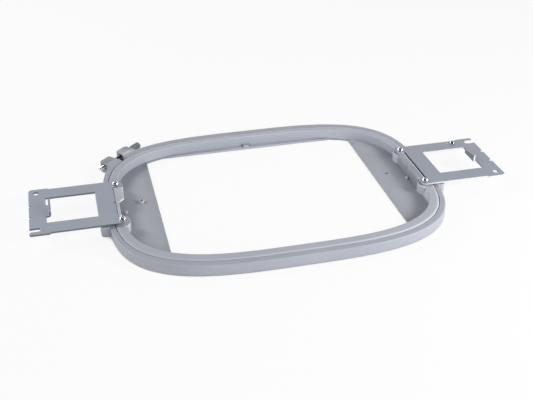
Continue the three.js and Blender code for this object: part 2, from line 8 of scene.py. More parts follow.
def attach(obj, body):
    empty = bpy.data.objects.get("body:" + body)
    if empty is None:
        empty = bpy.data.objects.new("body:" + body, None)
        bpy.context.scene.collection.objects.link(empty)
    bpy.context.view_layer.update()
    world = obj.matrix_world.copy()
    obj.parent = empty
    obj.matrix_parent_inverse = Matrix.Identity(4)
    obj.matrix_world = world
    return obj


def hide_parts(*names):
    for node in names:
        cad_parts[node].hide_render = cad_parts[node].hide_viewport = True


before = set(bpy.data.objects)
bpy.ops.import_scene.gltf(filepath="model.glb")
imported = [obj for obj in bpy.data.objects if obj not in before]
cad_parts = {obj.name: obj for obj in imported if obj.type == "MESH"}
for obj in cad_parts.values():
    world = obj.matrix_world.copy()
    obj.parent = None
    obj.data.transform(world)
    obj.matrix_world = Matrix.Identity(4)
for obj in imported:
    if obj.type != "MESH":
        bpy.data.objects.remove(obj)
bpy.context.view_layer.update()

# Outer ring: one moulding in grey plastic, a rounded rectangle that is split at its back left corner.
# Its wall is a profile with round edges, carried round a superellipse from one side of the split to
# the other, and the lugs and end blocks belong to the same moulding. Sizes are in millimetres.
MM = 0.001
CORNER_POWER = 3.33
SEAM_X, SEAM_Y, SEAM_SHIFT = 173.4, 129.3, np.array([0.0, -1.0])
OUTER_X, OUTER_Y, OUTER_HEIGHT, CLOTH_GAP = 179.2, 138.2, 12.3, 0.5
OUTER_EDGE, SEAM_EDGE, EDGE_FLAT = 1.5, 0.35, 2.2
RING_STEPS, SEARCH_STEPS, MERGE_DISTANCE = 720, 4001, 0.002
CLAMP_ORIGIN, CORNER_SPAN = np.array([-153.079, 105.599]), 30.0
CLAMP_ALONG = np.array([np.sqrt(0.5), np.sqrt(0.5)])
CLAMP_OUT = np.array([-np.sqrt(0.5), np.sqrt(0.5)])
SPLIT_NUT_SIDE, SPLIT_HEAD_SIDE, SPLIT_FLARE = -4.7, 5.4, 0.31
AXIS_OUT, AXIS_HEIGHT = 6.5, 7.5


def superellipse(half_x, half_y, turn):
    """Outline |x/a|^n + |y/b|^n = 1 at the angles turn: x = a cos^(2/n), y = b sin^(2/n), signs kept."""
    cos, sin = np.cos(turn), np.sin(turn)
    power = 2 / CORNER_POWER
    return np.stack([half_x * np.sign(cos) * np.abs(cos) ** power,
                     half_y * np.sign(sin) * np.abs(sin) ** power], axis=-1)


def at_height(outline, z):
    """The points of a flat outline, all at the height z."""
    return np.column_stack([outline, np.full(len(outline), z)])


def grid_faces(rows, columns, rows_meet, columns_meet):
    """Quads between neighbours on a grid of points, joined round on itself where asked."""
    row = np.arange(rows if rows_meet else rows - 1)
    column = np.arange(columns if columns_meet else columns - 1)
    r, c = np.meshgrid(row, column, indexing="ij")
    r1, c1 = (r + 1) % rows, (c + 1) % columns
    quads = np.stack([r * columns + c, r1 * columns + c, r1 * columns + c1, r * columns + c1], axis=-1)
    return quads.reshape(-1, 4)


def outward(points, faces):
    """The same closed shell with its faces outward: the signed volume over fans of each face is made
    positive."""
    volume = 0.0
    for face in faces:
        corners = points[np.asarray(face)]
        first = corners[:1].repeat(len(face) - 2, 0)
        volume += np.einsum("ij,ij->", np.cross(corners[1:-1], corners[2:]), first)
    return faces if volume > 0 else [tuple(face)[::-1] for face in faces]


def shell(points, faces, flat=()):
    """A closed shell as points in millimetres, faces, and for each face whether it is shaded smooth."""
    points = np.asarray(points, float)
    faces = [tuple(int(i) for i in face) for face in faces]
    return points, outward(points, faces), [i not in flat for i in range(len(faces))]


def edge_profile(low, high, edge, steps=4):
    """Half of a wall's section: inset and height from the lower flat, round, up, round, to the upper flat."""
    bend = np.linspace(0, np.pi / 2, steps + 1)
    inset = edge * (1 - np.sin(bend))
    rise = edge * (1 - np.cos(bend))
    return np.concatenate([inset, inset[::-1]]), np.concatenate([low + rise, high - rise[::-1]])


def ring_wall(inner, outer, low, high, inner_edge, outer_edge, closed):
    """Wall between two outlines: the section runs up the outer side, over the flat and down the inner side.
    A point at inset d from a side lies d along the line that joins the two outlines at the same angle."""
    across = outer - inner
    unit = across / np.linalg.norm(across, axis=-1, keepdims=True)

    def side(edge):
        inset, height = edge_profile(low, high, edge)
        return [(EDGE_FLAT * edge, low)] + list(zip(inset, height)) + [(EDGE_FLAT * edge, high)]

    rows = [at_height(outer - unit * d, z) for d, z in side(outer_edge)]
    rows += [at_height(inner + unit * d, z) for d, z in side(inner_edge)[::-1]]
    faces = list(grid_faces(len(rows), len(outer), True, closed))
    flat = ()
    if not closed:
        first = np.arange(len(rows)) * len(outer)
        faces += [first, (first + len(outer) - 1)[::-1]]
        flat = (len(faces) - 2, len(faces) - 1)
    return shell(np.concatenate(rows), faces, flat)


def piece(name, shells, material, body, smooth_angle=40, nodes=()):
    """One object from its shells: points to metres, poles merged, smooth except over sharp edges."""
    points, faces, flags, start = [], [], [], 0
    for shell_points, shell_faces, shell_flags in shells:
        points.append(shell_points)
        faces += [tuple(i + start for i in face) for face in shell_faces]
        flags += shell_flags
        start += len(shell_points)
    mesh = bpy.data.meshes.new(name)
    mesh.from_pydata(np.concatenate(points) * MM, [], faces)
    mesh.polygons.foreach_set("use_smooth", flags)
    work = bmesh.new()
    work.from_mesh(mesh)
    bmesh.ops.remove_doubles(work, verts=work.verts, dist=MERGE_DISTANCE * MM)
    work.to_mesh(mesh)
    work.free()
    smooth = np.empty(len(mesh.polygons), bool)
    mesh.polygons.foreach_get("use_smooth", smooth)
    mesh.set_sharp_from_angle(angle=np.radians(smooth_angle))
    mesh.polygons.foreach_set("use_smooth", smooth)
    mesh.materials.append(material)
    made = bpy.data.objects.new(name, mesh)
    bpy.context.scene.collection.objects.link(made)
    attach(made, body)
    if nodes:
        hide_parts(*nodes)
    return made


class Wire:
    """One value in a shader. Arithmetic on wires adds Math nodes to their tree."""

    def __init__(self, tree, socket=None):
        self.tree, self.socket = tree, socket

    def node(self, kind, settings=None, sockets=None, output=0):
        """A node of that kind: first its settings, then its sockets' values or links."""
        made = self.tree.nodes.new("ShaderNode" + kind)
        for name, value in (settings or {}).items():
            setattr(made, name, value)
        for name, value in (sockets or {}).items():
            if isinstance(value, Wire):
                self.tree.links.new(value.socket, made.inputs[name])
            else:
                made.inputs[name].default_value = value
        return Wire(self.tree, made.outputs[output])

    def maths(self, operation, *values):
        return self.node("Math", {"operation": operation}, dict(enumerate(values)))

    def __add__(self, other): return self.maths("ADD", self, other)
    def __radd__(self, other): return self.maths("ADD", other, self)
    def __sub__(self, other): return self.maths("SUBTRACT", self, other)
    def __rsub__(self, other): return self.maths("SUBTRACT", other, self)
    def __mul__(self, other): return self.maths("MULTIPLY", self, other)
    def __rmul__(self, other): return self.maths("MULTIPLY", other, self)
    def __truediv__(self, other): return self.maths("DIVIDE", self, other)
    def __lt__(self, other): return self.maths("LESS_THAN", self, other)
    def __pow__(self, other): return self.maths("POWER", self, other)
    def __abs__(self): return self.maths("ABSOLUTE", self)

    def within(self, low, high):
        """0 below low, 1 above high, smooth between. With low over high it falls from 1 to 0."""
        return self.node("MapRange", {"interpolation_type": "SMOOTHSTEP"},
                         {"Value": self, "From Min": low, "From Max": high})

    def mixed(self, first, second):
        """The colour first where this value is 0, second where it is 1."""
        return self.node("Mix", {"data_type": "RGBA"}, {0: self, 6: first, 7: second}, 2)


def colour(rgb, share=1.0):
    """A colour socket's value: that colour, times a share."""
    return (*(share * v for v in rgb), 1.0)


def new_material(name):
    """An empty material: its tree as a wire, its Principled node, and the object's coordinates in metres."""
    material = bpy.data.materials.new(name)
    material.use_nodes = True
    tree = material.node_tree
    start = Wire(tree)
    where = start.node("TexCoord", output="Object")
    return material, start, tree.nodes["Principled BSDF"], where


def plug(start, shader, **sockets):
    """Sets or links a shader's sockets, their names written with _ for a space."""
    for name, value in sockets.items():
        socket = shader.inputs[name.replace("_", " ")]
        if isinstance(value, Wire):
            start.tree.links.new(value.socket, socket)
        else:
            socket.default_value = value


def parts(start, vector, axes):
    """The named parts of a vector, as wires."""
    return [start.node("SeparateXYZ", None, {"Vector": vector}, axis) for axis in axes]


def millimetres(start, where, axes):
    """The named coordinates of a place, as wires in millimetres."""
    return [value / MM for value in parts(start, where, axes)]


def noise(start, where, scale, detail=3.0, roughness=0.5, stretch=(1, 1, 1)):
    """A noise value about 0.5 whose grains are 1/scale metres, drawn out where stretch is under 1."""
    mapped = start.node("Mapping", None, {"Vector": where, "Scale": stretch})
    return start.node("TexNoise", None, {"Vector": mapped, "Scale": scale, "Detail": detail,
                                         "Roughness": roughness})


def bumped(start, height, strength, distance):
    """The normal over a relief of that height, in metres."""
    return start.node("Bump", None, {"Strength": strength, "Distance": distance, "Height": height})


# Pale edges of the plastic, partly wear and partly painted highlight: the bend of an edge, the share on low
# edges, the painted highlight's share on upper edges, and their height.
PALE_EDGE_BEND, LOW_EDGE_WEAR_AND_HIGHLIGHT, UPPER_EDGE_HIGHLIGHT, UPPER_HEIGHT = (0.515, 0.56), 0.4, 0.5, (11.2, 11.8)


def moulded_plastic(name, base, shade, pale_edge, marks):
    """Fine spark-eroded grain with faint flow clouds: the colour drifts by a few per cent, the grain is a bump,
    and convex edges are paler and glossier, partly from wear and partly as a painted highlight, which is
    strongest on the upper edges. The marks are two shares from 0 to 1, one of darkening, mostly painted shade,
    and one of painted highlight that is added to the pale edges."""
    material, start, shader, where = new_material(name)
    cloud = noise(start, where, scale=14, detail=4)
    grain = noise(start, where, scale=2600, detail=2, roughness=0.6)
    speck = noise(start, where, scale=900, detail=1).within(0.69, 0.76)
    pointed = start.node("NewGeometry", output="Pointiness")
    height, = millimetres(start, where, "Z")
    dark, pale = marks(start, where)
    # Pale edges: partly wear, partly painted highlight; the marks' pale share is painted highlight.
    wear_and_highlight = pointed.within(*PALE_EDGE_BEND) * (LOW_EDGE_WEAR_AND_HIGHLIGHT + UPPER_EDGE_HIGHLIGHT * height.within(*UPPER_HEIGHT)) + pale
    body = cloud.within(0.3, 0.7).mixed(colour(base), colour(shade))
    body = (speck * 0.12).mixed(body, colour(base, 0.55))
    body = wear_and_highlight.mixed(body, colour(pale_edge))
    # The dark share, mostly painted shade, darkens the colour towards a near-black of the base.
    body = dark.mixed(body, colour(base, 0.08))
    rough = 0.46 + 0.1 * (grain - 0.5) + 0.05 * cloud - 0.1 * wear_and_highlight
    plug(start, shader, Base_Color=body, Roughness=rough, Normal=bumped(start, grain, 0.16, 0.00012), IOR=1.49)
    return material


# Painted shade by the clamp, in the arch, the nut's pocket and on the end blocks' tops under the brackets, and
# darker lugs with three dark specks: a share for each place, and the distances over which it comes and goes.
ARCH_RADIUS, ARCH_IN, ARCH_DOWN, ARCH_END = 4.9, 1.9, 1.5, 13.5
ARCH_SHADE, ARCH_RIM, ARCH_NEAR, ARCH_FAR = 0.9, (0.8, 0.2), (2.0, 3.0), (0.4, 0.1)
POCKET_SHADE, POCKET_ROUND, POCKET_OPEN, POCKET_DEEP = 0.5, (4.5, 4.2), (-20.2, -19.7), -8.0
LUG_DARKENING, HEAD_LUG_DARKENING, HEAD_LUG_NEAR = 0.24, 0.13, (8.0, 12.0)
LUGS_OUT, LUGS_SPAN = (1.5, 3.5), (40.0, 35.0)
BLOCK_UNDER_SHADE, BLOCK_UP, BLOCK_OUT = 0.6, (11.0, 11.3), (179.4, 180.2)
SPECK_ALONG, SPECK_OUT, SPECK_STEP, SPECK_SLANT, SPECK_RADIUS = -14.2, 5.4, 2.31, 1.75, 0.7
SPECK_DARKNESS, SPECK_FADE, SPECK_ROW, SPECK_UP = 0.6, 0.2, (1.5, 1.4), (11.8, 12.0)


def clamp_measure(x, y, direction):
    """Distance from the clamp's origin along a direction in plan, as a wire."""
    (x0, y0), (dx, dy) = CLAMP_ORIGIN.tolist(), direction.tolist()
    return (x - x0) * dx + (y - y0) * dy


def clamp_shade_and_marks(start, where):
    """Dark share: painted shade in the arch over the screw and in the nut's pocket, by the distance along the
    screw and from it, darker lugs, painted shade on the end blocks' tops under the brackets, and three dark
    specks in a slanted row. None is pale."""
    x, y, z = millimetres(start, where, "XYZ")
    along, out = clamp_measure(x, y, CLAMP_ALONG), clamp_measure(x, y, CLAMP_OUT)
    reach = ((out - AXIS_OUT + ARCH_IN) ** 2 + (z - AXIS_HEIGHT + ARCH_DOWN) ** 2) ** 0.5
    arch = reach.within(*(ARCH_RADIUS + v for v in ARCH_RIM))
    arch = arch * along.within(*ARCH_NEAR) * along.within(*(ARCH_END + v for v in ARCH_FAR))
    pocket = (((out - AXIS_OUT) ** 2 + (z - AXIS_HEIGHT) ** 2) ** 0.5).within(*POCKET_ROUND)
    pocket = pocket * along.within(*POCKET_OPEN) * (along < POCKET_DEEP)
    lugs = out.within(*LUGS_OUT) * abs(along).within(*LUGS_SPAN)
    blocks = z.within(*BLOCK_UP) * abs(x).within(*BLOCK_OUT)
    place = (along - SPECK_ALONG) / SPECK_STEP
    soft = (SPECK_RADIUS + SPECK_FADE, SPECK_RADIUS - SPECK_FADE)
    specks = (SPECK_STEP * start.maths("PINGPONG", place, 0.5)).within(*soft)
    specks = specks * abs(out - SPECK_OUT + SPECK_SLANT * place).within(*soft)
    specks = specks * abs(place).within(*SPECK_ROW) * z.within(*SPECK_UP)
    # Darker lugs with dark specks; the arch, the pocket and the blocks' tops take painted shade.
    lug_darkening = LUG_DARKENING + HEAD_LUG_DARKENING * along.within(*HEAD_LUG_NEAR) + SPECK_DARKNESS * specks
    return lug_darkening * lugs + ARCH_SHADE * arch + POCKET_SHADE * pocket + BLOCK_UNDER_SHADE * blocks, 0.0


outer_plastic = moulded_plastic("outer_plastic", (0.395, 0.416, 0.470), (0.415, 0.433, 0.485),
                                (0.62, 0.64, 0.70), clamp_shade_and_marks)

turn = np.linspace(0, 2 * np.pi, SEARCH_STEPS)
middle = superellipse((SEAM_X + OUTER_X) / 2, (SEAM_Y + OUTER_Y) / 2, turn) - CLAMP_ORIGIN
along, out = middle @ CLAMP_ALONG, middle @ CLAMP_OUT
corner = (turn > np.pi / 2) & (turn < np.pi) & (np.abs(along) < CORNER_SPAN)
nut_turn = np.interp(-SPLIT_NUT_SIDE, -along[corner], turn[corner])
head_turn = np.interp(-SPLIT_HEAD_SIDE, -(along - SPLIT_FLARE * out)[corner], turn[corner])
ring_turn = np.linspace(nut_turn, head_turn + 2 * np.pi, RING_STEPS)
seam = superellipse(SEAM_X + CLOTH_GAP, SEAM_Y + CLOTH_GAP, ring_turn) + SEAM_SHIFT
outer_shells = [ring_wall(seam, superellipse(OUTER_X, OUTER_Y, ring_turn), 0, OUTER_HEIGHT, SEAM_EDGE,
                          OUTER_EDGE, False)]

# End blocks: solid steps on the outer ring's two ends, which keep the brackets off the ring.
# They are flat pieces with round corners and round edges, sunk into the ring's wall.
BLOCK_ROOT, BLOCK_END, BLOCK_HALF_WIDTH, BLOCK_CORNER = 175.6, 187.2, 41.0, 3.5
BLOCK_LOW, BLOCK_TOP, BLOCK_EDGE, SLIVER = 0.05, 11.5, 0.6, 1e-9


def arc(x, y, radius, start, end, steps=14):
    """Points of an arc about x, y from one angle to another, in degrees."""
    angle = np.radians(np.linspace(start, end, steps))
    return np.column_stack([x + radius * np.cos(angle), y + radius * np.sin(angle)])


def rounded_rectangle(x0, y0, x1, y1, radius, steps=6):
    """Outline anticlockwise: four quarter circles about the inset corners."""
    quarter = np.linspace(0, np.pi / 2, steps + 1)
    centres = [(x1 - radius, y1 - radius), (x0 + radius, y1 - radius), (x0 + radius, y0 + radius),
               (x1 - radius, y0 + radius)]
    bends = [quarter + i * np.pi / 2 for i in range(4)]
    return np.concatenate([np.column_stack([cx + radius * np.cos(bend), cy + radius * np.sin(bend)])
                           for (cx, cy), bend in zip(centres, bends)])


def plate(loops, low, high, edge, steps=3):
    """Flat piece: a section with rounded edges carried round each outline, closed by two flat caps. Outlines
    run anticlockwise round material and clockwise round holes, so material is on their left, and a point's
    inset is along (n1 + n2) / (1 + n1.n2), with n1 and n2 the left normals of the edges that meet there."""
    inset, height = edge_profile(low, high, edge, steps)
    points, faces, caps, start = [], [], ([], []), 0
    for loop in loops:
        step = np.roll(loop, -1, 0) - loop
        step /= np.linalg.norm(step, axis=1, keepdims=True)
        normal = np.column_stack([-step[:, 1], step[:, 0]])
        before = np.roll(normal, 1, 0)
        mitre = (before + normal) / (1 + np.sum(before * normal, axis=1, keepdims=True))
        rows = [at_height(loop + mitre * d, z) for d, z in zip(inset, height)]
        points += rows
        faces += list(grid_faces(len(rows), len(loop), False, True) + start)
        caps[0].append(np.arange(len(loop)) + start)
        caps[1].append(np.arange(len(loop)) + start + (len(rows) - 1) * len(loop))
        start += len(rows) * len(loop)
    points = np.concatenate(points)
    walls = len(faces)
    for index, cap in enumerate(caps):
        order = np.concatenate(cap)
        flat = [[Vector((*points[i, :2], 0.0)) for i in ring] for ring in cap]
        corners = order[np.array(tessellate_polygon(flat))]
        a, b, c = (points[corners[:, k], :2] for k in range(3))
        area = (b - a)[:, 0] * (c - a)[:, 1] - (b - a)[:, 1] * (c - a)[:, 0]
        corners, area = corners[np.abs(area) > SLIVER], area[np.abs(area) > SLIVER]
        wrong = (area > 0) == (index == 0)
        corners[wrong] = corners[wrong][:, ::-1]
        faces += list(corners)
    faces = [face[::-1] for face in faces[:walls]] + faces[walls:]
    return shell(points, faces, set(range(walls, len(faces))))


for side in (1, -1):
    ends = sorted((side * BLOCK_ROOT, side * BLOCK_END))
    block = rounded_rectangle(ends[0], -BLOCK_HALF_WIDTH, ends[1], BLOCK_HALF_WIDTH, BLOCK_CORNER)
    outer_shells.append(plate([block], BLOCK_LOW, BLOCK_TOP, BLOCK_EDGE))

# Clamp lugs: two blocks moulded on the outer ring beside its split, both bored for the clamp screw.
# The lug at the screw's tip holds the nut in a six-sided pocket. The other one leans back from the
# split and is arched out there round the screw.
LUG_SINK, LUG_REACH, LUG_CORNER, LUG_EDGE, LUG_LOW, LUG_TOP = 4.0, 13.29, 3.0, 1.1, 0.05, 12.26
NUT_LUG_END, HEAD_LUG_END = -21.0, 24.579
ROD_BORE, POCKET_FLATS, POCKET_DEPTH, POCKET_MOUTH = 2.4, 7.6, 7.0, 0.96
ARCH_OVERLAP, ARCH_EDGE, ARCH_PROUD = 1.0, 0.5, 0.01


def clamp_place(points):
    """Clamp axes (along the screw, away from the ring, up) to the hoop's axes."""
    flat = CLAMP_ORIGIN + points[:, :1] * CLAMP_ALONG + points[:, 1:2] * CLAMP_OUT
    return np.column_stack([flat, points[:, 2]])


def lug(start, end, near_edge, pocket):
    """A bored block as a closed loop of sections along the bore: bore, face, rounded outside, face, pocket,
    bore. Each section is the block's outline or a hole's, taken at the angles of the outline about the bore.
    The outer corner at the far end is a quarter circle in plan."""
    toward = np.sign(end - start)
    bend = np.linspace(0, np.pi / 2, 7)
    length = abs(end - start)
    stations = [(near_edge * (1 - np.sin(b)), near_edge * (1 - np.cos(b)), 0.0) for b in bend[::-1]]
    stations += [(length - LUG_CORNER * (1 - np.sin(b)), 0.0, LUG_CORNER * (1 - np.cos(b))) for b in bend]
    stations += [(length, LUG_EDGE / 2, LUG_CORNER)]

    def outline(distance, inset, short):
        root = np.interp(start + toward * distance, outer_along[::-1], outer_out[::-1]) - LUG_SINK
        return rounded_rectangle(root - AXIS_OUT, LUG_LOW + inset - AXIS_HEIGHT,
                                 LUG_REACH - short - inset - AXIS_OUT, LUG_TOP - inset - AXIS_HEIGHT, LUG_EDGE)

    def row(section, distance):
        return np.column_stack([np.full(len(section), start + toward * distance), section[:, 0] + AXIS_OUT,
                                section[:, 1] + AXIS_HEIGHT])

    whole = outline(0.0, 0.0, 0.0)
    angle = np.arctan2(whole[:, 1], whole[:, 0])
    ray = np.column_stack([np.cos(angle), np.sin(angle)])
    sixth = np.pi / 3
    six_sided = POCKET_FLATS / 2 / np.cos((angle - np.pi / 2 + sixth / 2) % sixth - sixth / 2)
    rows = [row(ray * ROD_BORE, 0.0)]
    rows += [row(outline(*station), station[0]) for station in stations]
    if pocket:
        mouth = np.minimum(six_sided, POCKET_MOUTH * np.linalg.norm(outline(*stations[-1]), axis=1))
        rows += [row(ray * radius[:, None], length - depth) for radius, depth in
                 ((mouth, 0.0), (six_sided, LUG_CORNER / 2), (six_sided, POCKET_DEPTH))]
        rows.append(row(ray * ROD_BORE, length - POCKET_DEPTH))
    else:
        rows.append(row(ray * ROD_BORE, length))
    return shell(clamp_place(np.concatenate(rows)), grid_faces(len(rows), len(whole), True, True))


def arched_front():
    """The front of the lug on the knob's side: its section with an arch over the screw, carried from the
    leaning face x = s + f y at the split to a plane inside the bored block behind it."""
    low, high = LUG_LOW - AXIS_HEIGHT - ARCH_PROUD, LUG_TOP - AXIS_HEIGHT + ARCH_PROUD
    near, far = -LUG_SINK - AXIS_OUT, LUG_REACH - AXIS_OUT + ARCH_PROUD
    feet = ARCH_RADIUS * np.array([-1, 1]) - ARCH_IN
    section = np.concatenate([[(near, low), (feet[0], low)],
                              arc(-ARCH_IN, -ARCH_DOWN, ARCH_RADIUS, 180, 0, 24),
                              [(feet[1], low)], arc(far - LUG_EDGE, low + LUG_EDGE, LUG_EDGE, -90, 0, 6),
                              arc(far - LUG_EDGE, high - LUG_EDGE, LUG_EDGE, 0, 90, 6), [(near, high)]])
    depth = ARCH_END + ARCH_OVERLAP - SPLIT_HEAD_SIDE
    points, faces, flags = plate([section], 0.0, depth, ARCH_EDGE)
    out, up, along = AXIS_OUT + points[:, 0], AXIS_HEIGHT + points[:, 1], points[:, 2]
    along = SPLIT_HEAD_SIDE + along + SPLIT_FLARE * out * (1 - along / depth)
    return clamp_place(np.column_stack([along, out, up])), faces, flags


outside = superellipse(OUTER_X, OUTER_Y, turn[corner]) - CLAMP_ORIGIN
outer_along, outer_out = outside @ CLAMP_ALONG, outside @ CLAMP_OUT
outer_shells += [lug(SPLIT_NUT_SIDE, NUT_LUG_END, LUG_EDGE / 2, True),
                 lug(ARCH_END, HEAD_LUG_END, 0.0, False), arched_front()]
piece("outer_ring_moulding", outer_shells, outer_plastic, "outer_half", nodes=("outer_ring",))

# Clamp nut: a plain hexagon nut of plated steel, dark with grease, pressed into the pocket of the lug
# at the screw's tip. Its edges are rounded at both faces.
NUT_FLATS, NUT_BORE, NUT_HEIGHT, NUT_START, NUT_EDGE = 7.0, 2.1, 3.2, -17.5, 0.35


def hexagon(flats, edge_steps=4):
    """Six flats at flats / 2 from the axis, each divided into equal steps."""
    tip_turn = np.arange(7) * np.pi / 3
    tip = flats / np.sqrt(3) * np.column_stack([np.cos(tip_turn), np.sin(tip_turn)])
    share = np.linspace(0, 1, edge_steps, endpoint=False)[:, None]
    return np.concatenate([tip[i] + (tip[i + 1] - tip[i]) * share for i in range(6)])


def circle(radius, steps, x=0.0, y=0.0, hole=False):
    """A circle anticlockwise, or clockwise as a hole."""
    angle = np.arange(steps) * 2 * np.pi / steps
    ring = np.column_stack([x + radius * np.cos(angle), y + radius * np.sin(angle)])
    return ring[::-1] if hole else ring


def on_clamp_axis(made):
    """A shell about the upright axis, laid along the clamp screw: its z runs towards the knob."""
    points, faces, flags = made
    laid = np.column_stack([points[:, 2], AXIS_OUT + points[:, 0], AXIS_HEIGHT + points[:, 1]])
    return clamp_place(laid), faces, flags


def bright_plating(name, tint, rough, shading=None):
    """Bright plated steel: a clean reflection broken by faint turning marks and a few dull spots, and, where a
    shading share is given, darkened by that painted shade."""
    material, start, shader, where = new_material(name)
    marks = noise(start, where, scale=1500, detail=2, roughness=0.6)
    dull = noise(start, where, scale=260, detail=3).within(0.52, 0.75)
    body = (dull * 0.35).mixed(colour(tint), colour(tint, 0.72))
    rough = rough + 0.12 * dull
    if shading:
        share = shading(start, where)
        body = share.mixed(body, colour(tint, 0.16))
        rough = rough + 0.3 * share
    plug(start, shader, Base_Color=body, Roughness=rough, Metallic=1.0,
         Normal=bumped(start, marks, 0.05, 0.00005))
    return material


bright_steel = bright_plating("bright_steel", (0.74, 0.75, 0.78), 0.16)
nut_steel = bright_plating("nut_steel", (0.07, 0.072, 0.078), 0.4)
nut = plate([hexagon(NUT_FLATS), circle(NUT_BORE, 24, hole=True)], NUT_START, NUT_START + NUT_HEIGHT, NUT_EDGE)
piece("clamp_nut_turned", [on_clamp_axis(nut)], nut_steel, "outer_half", nodes=("clamp_nut",))

# Clamp screw: a bright rod with a rolled thread of 0.7 mm pitch, from its tip outside the one lug to the knob
# that is pressed on its other end. Painted shade darkens it from the nut to the knob, where it runs through the
# lugs' dark cavity.
ROD_START, ROD_END, ROD_RADIUS, ROD_SIDES = -29.0, 34.86, 2.0, 28
PITCH, PITCH_STEPS, THREAD_DEPTH, THREAD_END = 0.7, 6, 0.32, 21.0
TIP_LENGTH, TIP_SHARE = 0.9, 0.72
ROD_SHADE, ROD_SHADE_START = 0.9, (-9.0, -5.0)


def threaded_rod():
    """Radius = R - depth times a triangle wave of (z / pitch - angle / one turn), fading out past the
    thread's end and turned down towards the tip."""
    angle = np.arange(ROD_SIDES) * 2 * np.pi / ROD_SIDES
    z = np.arange(ROD_START, ROD_END, PITCH / PITCH_STEPS)
    phase = (z[:, None] / PITCH - angle[None, :] / (2 * np.pi)) % 1
    wave = np.abs(2 * phase - 1)
    fade = np.clip((THREAD_END - z) / PITCH, 0, 1)[:, None]
    tip = np.clip((z - ROD_START) / TIP_LENGTH, 0, 1)[:, None]
    radius = (ROD_RADIUS - THREAD_DEPTH * fade * wave) * (TIP_SHARE + (1 - TIP_SHARE) * tip)
    height = np.broadcast_to(z[:, None], radius.shape)
    points = np.stack([radius * np.cos(angle), radius * np.sin(angle), height], -1)
    faces = list(grid_faces(len(z), len(angle), False, True))
    last = (len(z) - 1) * len(angle)
    faces += [np.arange(len(angle))[::-1], np.arange(len(angle)) + last]
    faces = [tuple(face)[::-1] for face in faces]
    return shell(points.reshape(-1, 3), faces, (len(faces) - 2, len(faces) - 1))


def thread_shading(start, where):
    """Painted shade on the thread from inside the nut's lug on, where it runs through the lugs' dark cavity, by
    the distance along the screw.
    """
    x, y = millimetres(start, where, "XY")
    return ROD_SHADE * clamp_measure(x, y, CLAMP_ALONG).within(*ROD_SHADE_START)


rod_steel = bright_plating("rod_steel", (0.74, 0.75, 0.78), 0.16, thread_shading)
piece("clamp_screw_threaded", [on_clamp_axis(threaded_rod())], rod_steel, "thumb_screw",
      smooth_angle=75, nodes=("clamp_screw",))

# Clamp washer: a stamped flat washer of bright plated steel between the lug and the knob. It lies
# loose on the rod and travels with the screw.
WASHER_START, WASHER_THICKNESS, WASHER_RADIUS, WASHER_EDGE = 24.879, 1.0, 4.8, 0.22
washer = plate([circle(WASHER_RADIUS, 64), circle(ROD_BORE, 32, hole=True)], WASHER_START,
               WASHER_START + WASHER_THICKNESS, WASHER_EDGE)
piece("clamp_washer_stamped", [on_clamp_axis(washer)], bright_steel, "loose_washer",
      nodes=("clamp_washer",))

# Clamp knob: a dull plated steel cylinder with a straight knurl for the fingers and a slot in its end
# for a driver. It is pressed on the end of the clamp screw.
KNOB_START, KNOB_LENGTH, KNOB_RADIUS, KNOB_EDGE, KNOB_SIDES, FACE_RINGS = 26.179, 15.5, 4.0, 0.8, 320, 22
KNURLS, KNURL_DEPTH, KNURL_FADE = 40, 0.16, 0.7
SLOT_HALF_WIDTH, SLOT_DEPTH, SLOT_WALL, FACE_ZONE = 0.6, 1.5, 0.16, 0.05


def knurled_knob():
    """Rows of rings from the near face over the knurled side to the centre of the far face. The side's radius
    is R less a rounded ridge |sin(k angle / 2)|, faded at both rims, and the far face sinks inside the slot."""
    angle = np.arange(KNOB_SIDES) * 2 * np.pi / KNOB_SIDES
    bend = np.linspace(0, np.pi / 2, 5)
    rim = [(KNOB_RADIUS - KNOB_EDGE * (1 - np.sin(b)), KNOB_EDGE * (1 - np.cos(b))) for b in bend]
    ends = KNOB_EDGE + KNURL_FADE, KNOB_LENGTH - KNOB_EDGE - KNURL_FADE
    near = [(0.0, 0.0, 0.0), (ROD_RADIUS, 0.0, 0.0)] + [(r, rise, 0.0) for r, rise in rim]
    side = [(KNOB_RADIUS, z, 1.0) for z in np.linspace(*ends, 8)]
    far = [(r, KNOB_LENGTH - rise, 0.0) for r, rise in rim[::-1]]
    face = [(r, KNOB_LENGTH, 0.0) for r in np.linspace(KNOB_RADIUS - KNOB_EDGE, 0.0, FACE_RINGS)[1:]]
    radius, z, knurl = (np.array(v)[:, None] for v in zip(*(near + side + far + face)))
    ridge = np.abs(np.sin(KNURLS * angle / 2))[None, :]
    radius = radius - KNURL_DEPTH * knurl * (1 - ridge)
    across = np.abs(radius * np.sin(angle))
    slot = np.clip((SLOT_HALF_WIDTH + SLOT_WALL / 2 - across) / SLOT_WALL, 0, 1)
    height = KNOB_START + z - SLOT_DEPTH * slot * (z > KNOB_LENGTH - FACE_ZONE)
    points = np.stack([radius * np.cos(angle), radius * np.sin(angle), height], -1)
    faces = [tuple(face)[::-1] for face in grid_faces(len(z), len(angle), False, True)]
    return shell(points.reshape(-1, 3), faces)


def dull_plating(name, tint, shade):
    """Dull zinc plating: cloudy tint, satin gloss, and a fine even tooth."""
    material, start, shader, where = new_material(name)
    cloud = noise(start, where, scale=180, detail=4, roughness=0.6)
    tooth = noise(start, where, scale=4200, detail=2)
    blot = noise(start, where, scale=520, detail=2, roughness=0.6).within(0.55, 0.68)
    body = cloud.within(0.35, 0.68).mixed(colour(tint), colour(shade))
    body = (blot * 0.5).mixed(body, colour(tint, 0.5))
    plug(start, shader, Base_Color=body, Roughness=0.44 + 0.12 * cloud, Metallic=0.85,
         Normal=bumped(start, tooth, 0.12, 0.00006))
    return material


